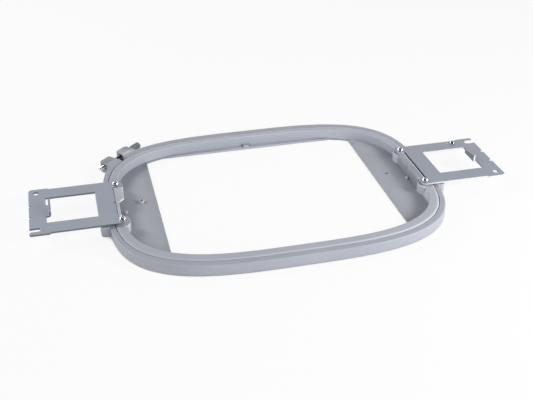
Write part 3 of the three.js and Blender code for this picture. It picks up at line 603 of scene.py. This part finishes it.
knob_steel = dull_plating("knob_steel", (0.245, 0.265, 0.290), (0.31, 0.33, 0.355))
piece("clamp_knob_knurled", [on_clamp_axis(knurled_knob())], knob_steel, "thumb_screw",
      smooth_angle=50, nodes=("clamp_knob",))

# Inner ring: one moulding in a slightly paler grey plastic. Its wall follows the outer ring's inside,
# and a thin floor with straight sides leaves the sewing field open.
HOOP_X, HOOP_Y, RING_HEIGHT, HOOP_EDGE, SHOULDER_EDGE = 164.5, 120.0, 13.0, 0.6, 1.7
FIELD_X, FIELD_Y, FLOOR_LOW, FLOOR_TOP = 123.3, 112.0, 0.04, 2.0
FLOOR_EDGE, FLOOR_FLAT, FLOOR_STEPS = 0.35, 0.6, 2400
EYELET_X, EYELET_Y, EYELET_HOLE = -140.0, 15.0, 1.6
MARK_X, MARK_Y, MARK_HALF = -1.5, 117.0, 3.6

# Painted shade and painted highlight on the inner ring, and a dark dash on its right floor: a share for each
# place, and the distances over which it comes and goes.
FLOOR_SHADE, FLOOR_ENDS, FLOOR_UP = 0.2, (70.0, 115.0), (3.5, 2.2)
FOOT_SHADE, FOOT_NEAR, FOOT_WIDE, FOOT_NARROWER = 0.2, 0.02, 0.16, 0.06
LIP_SIDE_X, LIP_SIDE_Y, LIP_SIDE_FLOOR, LIP_SIDE_FOOT = (0.0, 100.0), (-40.0, -10.0), 0.04, 0.1
LIT_X, LIT_Y, LIT_SHARE = (90.0, 120.0), (55.0, 85.0), 0.65
DASH_PLACE, DASH_HALVES, DASH_FADE, DASH_DARKNESS = (139.0, 11.6), (2.8, 0.9), (1.3, 0.6), 0.8
EYELET_SHADOW_HALVES, EYELET_SHADOW_FADE, EYELET_SHADOW_SHARE, FLAT_UNDER = (8.0, 1.6), (1.2, 0.4), 0.35, 2.5
BORE_FADE, BORE_SHADE = 0.1, 0.8
ABOVE_FLOOR = (3.0, 4.5)
WALL_LEVEL, WALL_UNDER, WALL_LEFT, WALL_SHADE = (0.97, 0.99), (12.6, 12.0), (100.0, 40.0), 0.06
MARK_BESIDE, MARK_ACROSS, MARK_DEEP, MARK_UNDER, MARK_SIDE_SHADE = 0.8, (1.2, 0.5), (3.6, 2.6), (4.5, 4.0), 0.5
BOSS_OUT, BOSS_SPAN, BOSS_UNDER, BOSS_SHADE = (156.0, 156.8), (46.0, 45.0), (15.6, 15.2), 0.12
LIP_OUT, LIP_IN, LIP_SPAN, LIP_UP = (158.0, 158.8), (166.2, 164.2), (29.8, 29.2), (2.1, 2.4)
LIP_SHADE, LIP_FRONT_SHADE, LIP_FRONT = 0.35, 0.08, (0.0, -10.0)
BACK_TOP_LIGHT, BACK_Y, TOP_UP = 0.2, (90.0, 112.0), (12.2, 12.6)
RIM_HIGHLIGHT, RIM_RIGHT_HIGHLIGHT, RIM_X, RIM_LEVEL = 0.12, 0.26, (-120.0, 120.0), (0.982, 0.988)


def level(x, y, half_x, half_y):
    """(|x/a|^n + |y/b|^n)^(1/n) as a wire: 0 at the centre and 1 on the superellipse."""
    return (abs(x / half_x) ** CORNER_POWER + abs(y / half_y) ** CORNER_POWER) ** (1 / CORNER_POWER)


def spot(x, y, place, halves):
    """((x - x0) / a)^2 + ((y - y0) / b)^2 as a wire: 1 on an ellipse."""
    return ((x - place[0]) / halves[0]) ** 2 + ((y - place[1]) / halves[1]) ** 2


def inner_shade_and_highlight(start, where):
    """Dark share: painted shade on the floor's ends, deepest towards the wall's foot by the level of the wall's
    superellipse and less where light falls, a dark dash, painted shadows beside the eyelet and painted shade in
    its hole, on the wall, the right bosses, the right lip and beside the centre mark. Pale share: a painted
    lighter top at the back and a painted highlight along the seam, most on the right."""
    x, y, z = millimetres(start, where, "XYZ")
    inside = level(x, y, HOOP_X, HOOP_Y)
    lip_side = x.within(*LIP_SIDE_X) * y.within(*LIP_SIDE_Y)
    # Painted shade on the floor, deepest at the wall's foot.
    foot = (1 - inside).within(FOOT_WIDE - FOOT_NARROWER * lip_side, FOOT_NEAR)
    lit = x.within(*LIT_X) * y.within(*LIT_Y)
    ends = abs(x).within(*FLOOR_ENDS) * z.within(*FLOOR_UP) * (1 - LIT_SHARE * lit)
    floor = FLOOR_SHADE - LIP_SIDE_FLOOR * lip_side + (FOOT_SHADE + LIP_SIDE_FOOT * lip_side) * foot
    # A dark dash on the right floor.
    dash = spot(x, y, DASH_PLACE, DASH_HALVES).within(*DASH_FADE)
    # Painted shadows of the eyelet on the floor, and painted shade in its hole.
    eyelet_shadows = spot(x, y, (EYELET_X, EYELET_Y), EYELET_SHADOW_HALVES).within(*EYELET_SHADOW_FADE)
    bore = ((x - EYELET_X) ** 2 + (y - EYELET_Y) ** 2) ** 0.5
    bore = bore.within(EYELET_HOLE + BORE_FADE, EYELET_HOLE - BORE_FADE)
    # Painted shade on the wall, the right bosses, the right lip and beside the centre mark.
    wall = inside.within(*WALL_LEVEL) * z.within(*ABOVE_FLOOR) * z.within(*WALL_UNDER) * x.within(*WALL_LEFT)
    mark = abs(abs(x - MARK_X) - MARK_HALF - MARK_BESIDE).within(*MARK_ACROSS)
    mark = mark * abs(y - MARK_Y).within(*MARK_DEEP) * z.within(*MARK_UNDER)
    boss = x.within(*BOSS_OUT) * abs(y).within(*BOSS_SPAN) * z.within(*ABOVE_FLOOR) * z.within(*BOSS_UNDER)
    lip = x.within(*LIP_OUT) * x.within(*LIP_IN) * abs(y).within(*LIP_SPAN) * z.within(*LIP_UP)
    dark = floor * ends + (DASH_DARKNESS * dash + EYELET_SHADOW_SHARE * eyelet_shadows) * (z < FLAT_UNDER) + BORE_SHADE * bore
    dark = dark + WALL_SHADE * wall + BOSS_SHADE * boss + MARK_SIDE_SHADE * mark
    dark = dark + (LIP_SHADE + LIP_FRONT_SHADE * y.within(*LIP_FRONT)) * lip
    # Painted highlight along the seam, strongest on the right, and a painted lighter top at the back.
    rim = level(x, y - float(SEAM_SHIFT[1]), SEAM_X, SEAM_Y).within(*RIM_LEVEL)
    pale = BACK_TOP_LIGHT * y.within(*BACK_Y) + (RIM_HIGHLIGHT + RIM_RIGHT_HIGHLIGHT * x.within(*RIM_X)) * rim
    return dark, pale * z.within(*TOP_UP)


inner_plastic = moulded_plastic("inner_plastic", (0.440, 0.464, 0.526), (0.460, 0.482, 0.541),
                                (0.74, 0.76, 0.82), inner_shade_and_highlight)


def round_turn(steps):
    """Angles at the middles of equal steps of one turn, so that none falls on an axis."""
    return (np.arange(steps) + 0.5) * 2 * np.pi / steps


def floor_slab():
    """Slab from the middle of the wall inwards to the field. On each ray from the centre it ends at the
    nearer of the rectangle |x| = X, |y| = Y and the wall's inner outline."""
    ray = superellipse((HOOP_X + SEAM_X) / 2, (HOOP_Y + SEAM_Y) / 2, round_turn(FLOOR_STEPS))
    square = np.min([FIELD_X, FIELD_Y] / np.abs(ray), axis=1)
    wall = np.sum(np.abs(ray / [HOOP_X, HOOP_Y]) ** CORNER_POWER, axis=1) ** (-1 / CORNER_POWER)
    rim = ray * np.minimum(square, wall)[:, None]
    unit = ray / np.linalg.norm(ray, axis=1, keepdims=True)
    inset, height = edge_profile(FLOOR_LOW, FLOOR_TOP, FLOOR_EDGE, 3)
    flat = FLOOR_EDGE + FLOOR_FLAT
    section = [(flat, FLOOR_LOW)] + list(zip(inset, height)) + [(flat, FLOOR_TOP)]
    rows = [at_height(rim + unit * d, z) for d, z in section]
    rows += [at_height(ray, z) for z in (FLOOR_TOP, FLOOR_LOW)]
    return shell(np.concatenate(rows), grid_faces(len(rows), len(ray), True, True))


wall_turn = round_turn(RING_STEPS)
inner_shells = [ring_wall(superellipse(HOOP_X, HOOP_Y, wall_turn),
                          superellipse(SEAM_X, SEAM_Y, wall_turn) + SEAM_SHIFT, 0, RING_HEIGHT, HOOP_EDGE,
                          SHOULDER_EDGE, True), floor_slab()]

# Bosses and lips of the inner ring: at each end two pads with a round seat under the bracket's ears,
# and between them a lip that stands beside the bracket's edge. The right lip is solid. The left one is
# a thin wall under a flange that is wide on its back half.
SCREW_X, SCREW_Y, SEAT_Z, PLATE_TOP = 164.5, 37.0, 14.0, 16.0
BOSS_ROOT, BOSS_REACH, BOSS_SHOULDER, BOSS_FACE_HALF, BOSS_ROOT_HALF = 169.5, 7.6, 4.5, 3.0, 8.6
PAD_LOW, PAD_TOP, PAD_EDGE, SEAT_RADIUS, SEAT_LOW, SEAT_EDGE = 0.12, 12.96, 0.5, 5.4, 1.0, 0.3
FOOT_X, FOOT_END, FOOT_STEPS, FOOT_LOW = 159.0, 61.5, 12, 0.2
FOOT_TOP, FOOT_BEHIND, FOOT_SINK = PAD_TOP - 0.4, 4, 0.1
LIP_BACK, LIP_LOW, LIP_END, LIP_TOP, LIP_EDGE = {1: 166.6, -1: 167.8}, {1: 0.08, -1: 12.9}, 29.65, 15.6, 0.4
LIP_THIN, LIP_THICK = {1: 7.0, -1: 2.9}, {1: 7.4, -1: 9.3}
STEM_LOW, STEM_TOP, STEM_SIDE, STEM_END, STEM_CORNER, STEM_EDGE = 0.08, 13.4, 0.05, 0.1, 0.5, 0.2


def turned(profile, steps, x, y):
    """Turned piece about an upright axis at x, y: the points (radius, height) of its profile carried round."""
    angle = np.arange(steps) * 2 * np.pi / steps
    radius, height = np.array(profile, float).T
    points = np.stack([x + radius[:, None] * np.cos(angle), y + radius[:, None] * np.sin(angle),
                       np.broadcast_to(height[:, None], (len(radius), steps))], -1)
    return shell(points.reshape(-1, 3), grid_faces(len(radius), steps, False, True))


def rounded_post(radius, low, high, edge):
    """Profile of a post from its lower centre, up its side and over a round edge to its upper centre."""
    bend = np.linspace(0, np.pi / 2, 5)
    top = [(radius - edge * (1 - np.cos(b)), high - edge * (1 - np.sin(b))) for b in bend]
    return [(0.0, low), (radius, low)] + top + [(max(radius - 2 * edge, 0.1), high), (0.0, high)]


def wall_foot(end):
    """The wall's foot in front of a front boss: at each y its section runs from the ring's upper inner edge,
    which is on the superellipse, down to a straight line on the floor, and back inside the wall."""
    y = np.linspace(SCREW_Y, FOOT_END, FOOT_STEPS)
    wall = HOOP_X * (1 - (y / HOOP_Y) ** CORNER_POWER) ** (1 / CORNER_POWER)
    top, low = np.full(len(y), FOOT_TOP), np.full(len(y), FOOT_LOW)
    section = [(wall + FOOT_BEHIND, low), (wall + FOOT_BEHIND, top), (wall + FOOT_SINK, top),
               (np.minimum(FOOT_X, wall), low)]
    points = np.stack([np.column_stack([end * x, -y, z]) for x, z in section], axis=1).reshape(-1, 3)
    faces = list(grid_faces(len(y), 4, False, True)) + [range(4)[::-1], range(len(points) - 4, len(points))]
    return shell(points, faces)


for side in (1, -1):
    thin, thick, back = LIP_THIN[side], LIP_THICK[side], LIP_BACK[side]
    lip = np.array([[back, -LIP_END], [back, LIP_END], [back - thin, LIP_END],
                    [back - thin, 0.0], [back - thick, thin - thick], [back - thick, -LIP_END]])
    inner_shells.append(plate([side * lip], LIP_LOW[side], LIP_TOP, LIP_EDGE))
    if side == -1:
        stem = rounded_rectangle(back - thin + STEM_SIDE, STEM_END - LIP_END, back - STEM_SIDE,
                                 LIP_END - STEM_END, STEM_CORNER)
        inner_shells.append(plate([side * stem], STEM_LOW, STEM_TOP, STEM_EDGE))
    inner_shells.append(wall_foot(side))
    for y in (-SCREW_Y, SCREW_Y):
        shoulder, face = SCREW_X - BOSS_SHOULDER, SCREW_X - BOSS_REACH
        pad = np.array([[BOSS_ROOT, y - BOSS_ROOT_HALF], [BOSS_ROOT, y + BOSS_ROOT_HALF],
                        [shoulder, y + BOSS_ROOT_HALF], [face, y + BOSS_FACE_HALF],
                        [face, y - BOSS_FACE_HALF], [shoulder, y - BOSS_ROOT_HALF]])
        seat = rounded_post(SEAT_RADIUS, SEAT_LOW, SEAT_Z, SEAT_EDGE)
        inner_shells.append(plate([side * pad], PAD_LOW, PAD_TOP, PAD_EDGE))
        inner_shells.append(turned(seat, 48, side * SCREW_X, y))

# Pegs, eyelet and centre mark of the inner ring: a small round peg stands on the floor by each lip, a
# raised eyelet with a hole marks the left floor, and a low pad marks the middle of the back.
PEG_PLACES, PEG_RADIUS, PEG_LOW = ((157.2, -5.6), (-158.5, -3.6)), 2.0, 0.5
PEG_TOP, PEG_EDGE = 5.0, 0.7
EYELET_RADIUS, EYELET_LOW, EYELET_TOP, EYELET_SWELL = 3.0, 0.02, 5.0, 0.9
MARK_LOW, MARK_TOP, MARK_CORNER, MARK_EDGE, MARK_FRONT, MARK_SINK = 0.6, 3.6, 0.8, 0.3, 2.6, 1.0
for x, y in PEG_PLACES:
    inner_shells.append(turned(rounded_post(PEG_RADIUS, PEG_LOW, PEG_TOP, PEG_EDGE), 40, x, y))
half_wall = (EYELET_RADIUS - EYELET_HOLE) / 2
eyelet = [(EYELET_HOLE, EYELET_LOW), (EYELET_RADIUS, EYELET_LOW)]
eyelet += [(EYELET_HOLE + half_wall * (1 + np.cos(b)), EYELET_TOP - EYELET_SWELL + EYELET_SWELL * np.sin(b))
           for b in np.linspace(0, np.pi, 9)]
eyelet += [(EYELET_HOLE, EYELET_LOW)]
inner_shells.append(turned(eyelet, 48, EYELET_X, EYELET_Y))
centre_mark = rounded_rectangle(MARK_X - MARK_HALF, MARK_Y - MARK_FRONT, MARK_X + MARK_HALF, HOOP_Y + MARK_SINK,
                                MARK_CORNER)
inner_shells.append(plate([centre_mark], MARK_LOW, MARK_TOP, MARK_EDGE))
piece("inner_ring_moulding", inner_shells, inner_plastic, "inner_half", nodes=("inner_ring",))

# Brackets: 2 mm sheet steel, blanked with a window, ears for the screws, a hole and an open slot for
# the machine's pins and two small V notches. The second is the first one turned half a turn.
PLATE_INNER, PLATE_END, STEP_X, PLATE_STEP = 168.3, 256.6, 237.1, 1.75
BAR_EDGE, END_EDGE, EAR_RADIUS, PLATE_CORNER = 43.75, 45.5, 6.75, 4.0
WINDOW_X0, WINDOW_X1, WINDOW_Y, WINDOW_CORNER = 187.5, 239.3, 25.0, 1.2
PIN_Y, PIN_RADIUS, PIN_X, SLOT_ROUND_X, FINGER_TIP = 36.6, 3.1, 248.9, 248.4, 2.0
NOTCH_Y, NOTCH_HALF, NOTCH_DEPTH, SCREW_HOLE, SHEET_EDGE = 11.4, 2.6, 3.2, 2.3, 0.22
NICK_Y, NICK_RADIUS = 1.3, 1.6
INDEX_X, INDEX_Y, INDEX_HOLE, SMALL_X, SMALL_Y, SMALL_RADIUS = 230.5, 38.55, 2.05, 224.9, 40.35, 1.8


def bracket_outline():
    """The blank's edge anticlockwise: ear, front edge with its step, round corner, notches, slot, finger,
    back edge, ear, and a small round nick in the edge by the lip."""
    edge = [[(PLATE_INNER, -SCREW_Y + EAR_RADIUS)], arc(SCREW_X, -SCREW_Y, EAR_RADIUS, 90, 270, 30),
            [(STEP_X - PLATE_STEP, -BAR_EDGE), (STEP_X, -END_EDGE)],
            arc(PLATE_END - PLATE_CORNER, -END_EDGE + PLATE_CORNER, PLATE_CORNER, -90, 0)]
    for y in (-NOTCH_Y, NOTCH_Y):
        edge.append([(PLATE_END, y - NOTCH_HALF), (PLATE_END - NOTCH_DEPTH, y), (PLATE_END, y + NOTCH_HALF)])
    edge += [[(PLATE_END, PIN_Y - PIN_RADIUS)], arc(SLOT_ROUND_X, PIN_Y, PIN_RADIUS, 270, 90, 24),
             arc(PLATE_END - FINGER_TIP, PIN_Y + PIN_RADIUS + FINGER_TIP, FINGER_TIP, -90, 0),
             arc(PLATE_END - FINGER_TIP, END_EDGE - FINGER_TIP, FINGER_TIP, 0, 90),
             [(STEP_X, END_EDGE), (STEP_X - PLATE_STEP, BAR_EDGE)],
             arc(SCREW_X, SCREW_Y, EAR_RADIUS, 90, 270, 30), [(PLATE_INNER, SCREW_Y - EAR_RADIUS)],
             arc(PLATE_INNER, NICK_Y, NICK_RADIUS, 90, -90, 9)]
    return np.concatenate([np.array(part, float) for part in edge])


def satin_sheet(name, tint, shade, painted_front_edge, painted_side_edge, ear_fade):
    """Satin plated sheet: fine lines drawn out along the bracket, soft clouds, and a painted tone on the
    sheared edges, by whether they face along the bracket or across it: a painted reflection where that tone is
    bright and painted shade where it is dark. The tone fades in over ear_fade, in millimetres from the hoop's
    centre."""
    material, start, shader, where = new_material(name)
    lines = noise(start, where, scale=2400, detail=3, roughness=0.6, stretch=(0.03, 1, 1))
    cloud = noise(start, where, scale=26, detail=4, roughness=0.55)
    scuff = noise(start, where, scale=420, detail=3, roughness=0.7, stretch=(0.25, 1, 1)).within(0.62, 0.72)
    body = cloud.within(0.3, 0.7).mixed(colour(tint), colour(shade))
    body = (scuff * 0.18).mixed(body, colour(shade, 1.3))
    across, up = (abs(part) for part in parts(start, start.node("NewGeometry", output="Normal"), "YZ"))
    edge = across.within(0.4, 0.8).mixed(colour(painted_side_edge), colour(painted_front_edge))
    x, = millimetres(start, where, "X")
    # The sheared edges take the painted reflection or painted shade.
    body = (up.within(0.8, 0.4) * abs(x).within(*ear_fade)).mixed(body, edge)
    rough = 0.48 + 0.1 * (lines - 0.5) + 0.06 * cloud - 0.05 * scuff
    plug(start, shader, Base_Color=body, Roughness=rough, Metallic=0.75,
         Normal=bumped(start, lines, 0.1, 0.00005))
    return material


# Lit and shaded copies of one steel: the right bracket is a touch paler, with a painted bright reflection on
# its front edges and painted shade on its side edges, and the left one has painted shade on all its edges.
bracket_steel = {
    1: satin_sheet("right_bracket_steel_lit", (0.385, 0.417, 0.484), (0.415, 0.447, 0.512), (0.90, 0.91, 0.94),
                   (0.20, 0.22, 0.26), ear_fade=(150.0, 157.0)),
    -1: satin_sheet("left_bracket_steel_shaded", (0.375, 0.408, 0.476), (0.405, 0.438, 0.506), (0.18, 0.20, 0.24),
                    (0.24, 0.26, 0.30), ear_fade=(167.0, 171.0))}

# Upright tabs: a strip at the outer side of each window, bent up from the same sheet, with an upper
# edge that slopes from its tall front end to its low back end.
TAB_TIP, TAB_ROOT, TAB_FRONT, TAB_BACK, TAB_TALL, TAB_LOW = 234.4, 241.0, -9.9, 12.4, 23.8, 20.4
BEND_RADIUS, SHEET, ROOT_SINK, TAB_STEPS = 1.0, 2.0, 0.04, 12


def upright_tab():
    """The bent strip's section (x, z) carried along y, its two upper corners at a height that falls evenly."""
    outer = BEND_RADIUS + SHEET
    inner_bend = arc(TAB_TIP + outer, PLATE_TOP + BEND_RADIUS, BEND_RADIUS, -90, -180, 7)
    outer_bend = arc(TAB_TIP + outer, SEAT_Z + outer, outer, 180, 270, 9)
    section = np.concatenate([[(TAB_ROOT, SEAT_Z + ROOT_SINK), (TAB_ROOT, PLATE_TOP - ROOT_SINK)],
                              inner_bend - [0.0, ROOT_SINK],
                              [(TAB_TIP + SHEET, TAB_TALL), (TAB_TIP, TAB_TALL)],
                              outer_bend + [0.0, ROOT_SINK]])
    top = section[:, 1] == TAB_TALL
    y = np.linspace(TAB_FRONT, TAB_BACK, TAB_STEPS)
    fall = (y - TAB_FRONT) / (TAB_BACK - TAB_FRONT) * (TAB_LOW - TAB_TALL)
    height = section[None, :, 1] + fall[:, None] * top[None, :]
    points = np.stack([np.broadcast_to(section[:, 0], height.shape), np.broadcast_to(y[:, None], height.shape),
                       height], -1).reshape(-1, 3)
    faces = list(grid_faces(len(y), len(section), False, True))
    first = np.arange(len(section))
    faces += [first[::-1], first + (len(y) - 1) * len(section)]
    faces = [tuple(face)[::-1] for face in faces]
    return shell(points, faces, (len(faces) - 2, len(faces) - 1))


def half_turned(made, side):
    """The same shell for side 1, and turned half a turn about the hoop's centre for side -1."""
    points, faces, flags = made
    return points * [side, side, 1], faces, flags


for side, end in ((1, "right"), (-1, "left")):
    window = rounded_rectangle(WINDOW_X0, -WINDOW_Y, WINDOW_X1, WINDOW_Y, WINDOW_CORNER)[::-1]
    holes = [window, circle(PIN_RADIUS, 40, PIN_X, -PIN_Y, True)]
    holes += [circle(SCREW_HOLE, 32, SCREW_X, y, True) for y in (-SCREW_Y, SCREW_Y)]
    if side == 1:
        holes += [circle(INDEX_HOLE, 32, INDEX_X, INDEX_Y, True),
                  circle(SMALL_RADIUS, 32, SMALL_X, SMALL_Y, True)]
    sheet = plate([bracket_outline()] + holes, SEAT_Z, PLATE_TOP, SHEET_EDGE)
    piece(end + "_bracket_sheet", [half_turned(sheet, side), half_turned(upright_tab(), side)],
          bracket_steel[side], "inner_half", nodes=(end + "_bracket",))

# Bracket screws: bright plated pan heads with a cross recess, which clamp the brackets' ears to the
# inner ring's bosses. The index screw on the right bracket is a size smaller, with a bluish plating.
HEAD_RADIUS, HEAD_RIM, SHANK_RADIUS, SHANK_LENGTH = 3.6, 0.8, 2.0, 11.0
INDEX_HEAD, INDEX_SPIN = (3.1, 0.4, 1.75, 7.0), 0.7
HEAD_SIDES, CROWN_RINGS, CROWN_TILT, HEAD_EDGE, SHANK_POINT = 96, 34, np.radians(74), 0.15, 0.6
CROSS_DEPTH, CROSS_SPIN = 1.2, {1: -0.43, -1: -0.05}
CROSS_ARM, CROSS_REACH, CROSS_END, CROSS_SPREAD, CROSS_WALL = 0.13, 0.58, 0.12, 0.2, 0.25


def pan_head(head_radius, rim, shank, length, x, y, spin):
    """Rows from the crown's centre over the domed head, a cap of the ball of radius S = R / sin(tilt) at the
    height rim + sqrt(S^2 - r^2) - S cos(tilt), down the side, under the head and down the shank. The crown
    sinks inside a cross whose arms narrow downwards."""
    angle = np.arange(HEAD_SIDES) * 2 * np.pi / HEAD_SIDES
    ball = head_radius / np.sin(CROWN_TILT)
    across = head_radius * np.linspace(0, 1, CROWN_RINGS)
    crown = [(r, rim + np.sqrt(ball ** 2 - r ** 2) - ball * np.cos(CROWN_TILT), 1.0) for r in across]
    below = [(head_radius, HEAD_EDGE, 0.0), (head_radius - HEAD_EDGE, 0.0, 0.0), (shank, 0.0, 0.0),
             (shank, -length + SHANK_POINT, 0.0), (shank - SHANK_POINT, -length, 0.0), (0.0, -length, 0.0)]
    radius, z, top = (np.array(v)[:, None] for v in zip(*(crown + below)))
    a, b = radius * np.cos(angle - spin), radius * np.sin(angle - spin)
    arm = CROSS_ARM * head_radius
    reach = np.clip((CROSS_REACH * head_radius - radius) / (CROSS_END * head_radius), 0, 1)
    cross = np.clip((arm + CROSS_SPREAD - np.minimum(np.abs(a), np.abs(b))) / CROSS_WALL, 0, 1) * reach
    height = PLATE_TOP + z - top * cross * CROSS_DEPTH
    points = np.stack([x + radius * np.cos(angle), y + radius * np.sin(angle), height], -1)
    return shell(points.reshape(-1, 3), grid_faces(len(z), len(angle), False, True))


chrome = bright_plating("chrome_plating", (0.86, 0.87, 0.90), 0.07)
for end, side in (("right", 1), ("left", -1)):
    for place, y in (("front", -SCREW_Y), ("back", SCREW_Y)):
        head = pan_head(HEAD_RADIUS, HEAD_RIM, SHANK_RADIUS, SHANK_LENGTH, side * SCREW_X, y, CROSS_SPIN[side])
        piece(f"{end}_{place}_pan_head", [head], chrome, "inner_half",
              nodes=(f"{end}_{place}_screw",))
blued = bright_plating("blued_plating", (0.42, 0.50, 0.58), 0.1)
piece("index_pan_head", [pan_head(*INDEX_HEAD, INDEX_X, INDEX_Y, INDEX_SPIN)], blued, "inner_half",
      nodes=("index_screw",))

# Index nut: a small hexagon nut of bright plated steel under the right bracket, screwed on the index
# screw's shank and drawn up against the sheet.
INDEX_NUT_FLATS, INDEX_NUT_BORE, INDEX_NUT_LOW, INDEX_NUT_EDGE = 6.4, 1.85, 11.0, 0.3
small_nut = plate([hexagon(INDEX_NUT_FLATS) + [INDEX_X, INDEX_Y],
                   circle(INDEX_NUT_BORE, 24, INDEX_X, INDEX_Y, True)], INDEX_NUT_LOW, SEAT_Z, INDEX_NUT_EDGE)
piece("index_nut_turned", [small_nut], bright_steel, "inner_half", nodes=("index_nut",))

# Threaded inserts: turned brass sleeves sunk into the bosses, which the bracket screws bite into.
# They lie hidden under the ears and keep the solids' own shape.


def turned_brass(name, tint):
    """Turned brass: fine rings across the sleeve's axis and a slight tarnish."""
    material, start, shader, where = new_material(name)
    rings = noise(start, where, scale=3000, detail=2, stretch=(0.1, 0.1, 1))
    tarnish = noise(start, where, scale=300, detail=3).within(0.45, 0.7)
    body = (tarnish * 0.5).mixed(colour(tint), colour(tint, 0.6))
    plug(start, shader, Base_Color=body, Roughness=0.3 + 0.15 * tarnish, Metallic=1.0,
         Normal=bumped(start, rings, 0.1, 0.00005))
    return material


insert_brass = turned_brass("insert_brass", (0.55, 0.42, 0.16))
for name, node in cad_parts.items():
    if name.endswith("_insert"):
        for place in node.material_slots:
            place.material = insert_brass

# Studio: a pale floor that keeps the hoop's shadow, a white surround that is dark overhead, a lamp from
# the right, a high one from behind on the left, a low fill from the front that metal doesn't mirror,
# and the camera at the photograph's place. Sizes here are in metres.
CAMERA_PLACE, CAMERA_BACK = (-0.20376, -0.79541, 0.48473), (-0.2081, -0.8325, 0.5135)
CAMERA_LENS, CAMERA_SENSOR = 58.66, 36.0
WHITE, OVERHEAD, OVERHEAD_RISE, OVERHEAD_TILT = (1, 1, 1), (0.06, 0.063, 0.07), (0.3, 0.7), 0.5
FLOOR_HALF, FLOOR_DROP, FLOOR_TONE, FLOOR_GLOW = 6.0, -0.0004, (0.90, 0.90, 0.905), 0.9
SHADOW_REACH, SHADOW_FADE = 0.012, (0.25, 0.5)
LAMP_TINT = (1.0, 0.995, 1.0)
world = bpy.data.worlds.new("studio")
bpy.context.scene.world = world
world.use_nodes = True
sky = Wire(world.node_tree)
y, z = parts(sky, sky.node("TexCoord", output="Generated"), "YZ")
mirrored, direct = (sky.node("LightPath", output=ray) for ray in ("Is Glossy Ray", "Is Camera Ray"))
overhead = (z - OVERHEAD_TILT * mirrored * y).within(*OVERHEAD_RISE) * (1 - direct)
plug(sky, world.node_tree.nodes["Background"], Color=overhead.mixed(colour(WHITE), colour(OVERHEAD)),
     Strength=1.0)

floor_mesh = bpy.data.meshes.new("studio_floor")
floor_corners = np.array([(-1, -1, 0), (1, -1, 0), (1, 1, 0), (-1, 1, 0)]) * FLOOR_HALF + [0, 0, FLOOR_DROP]
floor_mesh.from_pydata(floor_corners, [], [(0, 1, 2, 3)])
floor = bpy.data.objects.new("studio_floor", floor_mesh)
bpy.context.scene.collection.objects.link(floor)
floor_material, start, shader, _ = new_material("studio_floor")
plug(start, shader, Base_Color=colour(FLOOR_TONE), Roughness=0.9)
glow = start.node("Emission", None, {"Color": colour(WHITE), "Strength": 1.0})
direct, mirrored = (start.node("LightPath", output=ray) for ray in ("Is Camera Ray", "Is Glossy Ray"))
open_sky = start.node("AmbientOcclusion", {"samples": 8}, {"Distance": SHADOW_REACH}, "AO")
whiter = start.maths("MAXIMUM", direct, mirrored) * open_sky.within(*SHADOW_FADE) * FLOOR_GLOW
surface = start.node("MixShader", None, {0: whiter, 1: Wire(start.tree, shader.outputs[0]), 2: glow})
start.tree.links.new(surface.socket, start.tree.nodes["Material Output"].inputs["Surface"])
floor_mesh.materials.append(floor_material)


def soft_light(name, place, width, height, watts, mirrored):
    """A rectangular area light at place, facing the hoop. One that isn't mirrored doesn't show in metal."""
    lamp = bpy.data.lights.new(name, "AREA")
    lamp.shape, lamp.size, lamp.size_y = "RECTANGLE", width, height
    lamp.energy, lamp.color = watts, LAMP_TINT
    made = bpy.data.objects.new(name, lamp)
    made.location = place
    made.rotation_euler = (-Vector(place)).to_track_quat("-Z", "Y").to_euler()
    made.visible_glossy = mirrored
    bpy.context.scene.collection.objects.link(made)


soft_light("right_side", (0.736, -0.516, 0.438), width=0.20, height=0.36, watts=5.9, mirrored=True)
soft_light("left_side", (-1.318, 0.70, 1.007), width=0.32, height=0.56, watts=10.5, mirrored=True)
soft_light("front_fill", (-0.12, -1.005, 0.448), width=0.9, height=0.5, watts=1.9, mirrored=False)

camera = bpy.data.cameras.new("photo_camera")
camera.lens, camera.sensor_width, camera.sensor_fit = CAMERA_LENS, CAMERA_SENSOR, "HORIZONTAL"
viewer = bpy.data.objects.new("photo_camera", camera)
viewer.location = CAMERA_PLACE
viewer.rotation_euler = (-Vector(CAMERA_BACK)).to_track_quat("-Z", "Y").to_euler()
bpy.context.scene.collection.objects.link(viewer)
bpy.context.scene.camera = viewer
bpy.context.scene.view_settings.view_transform = "Standard"
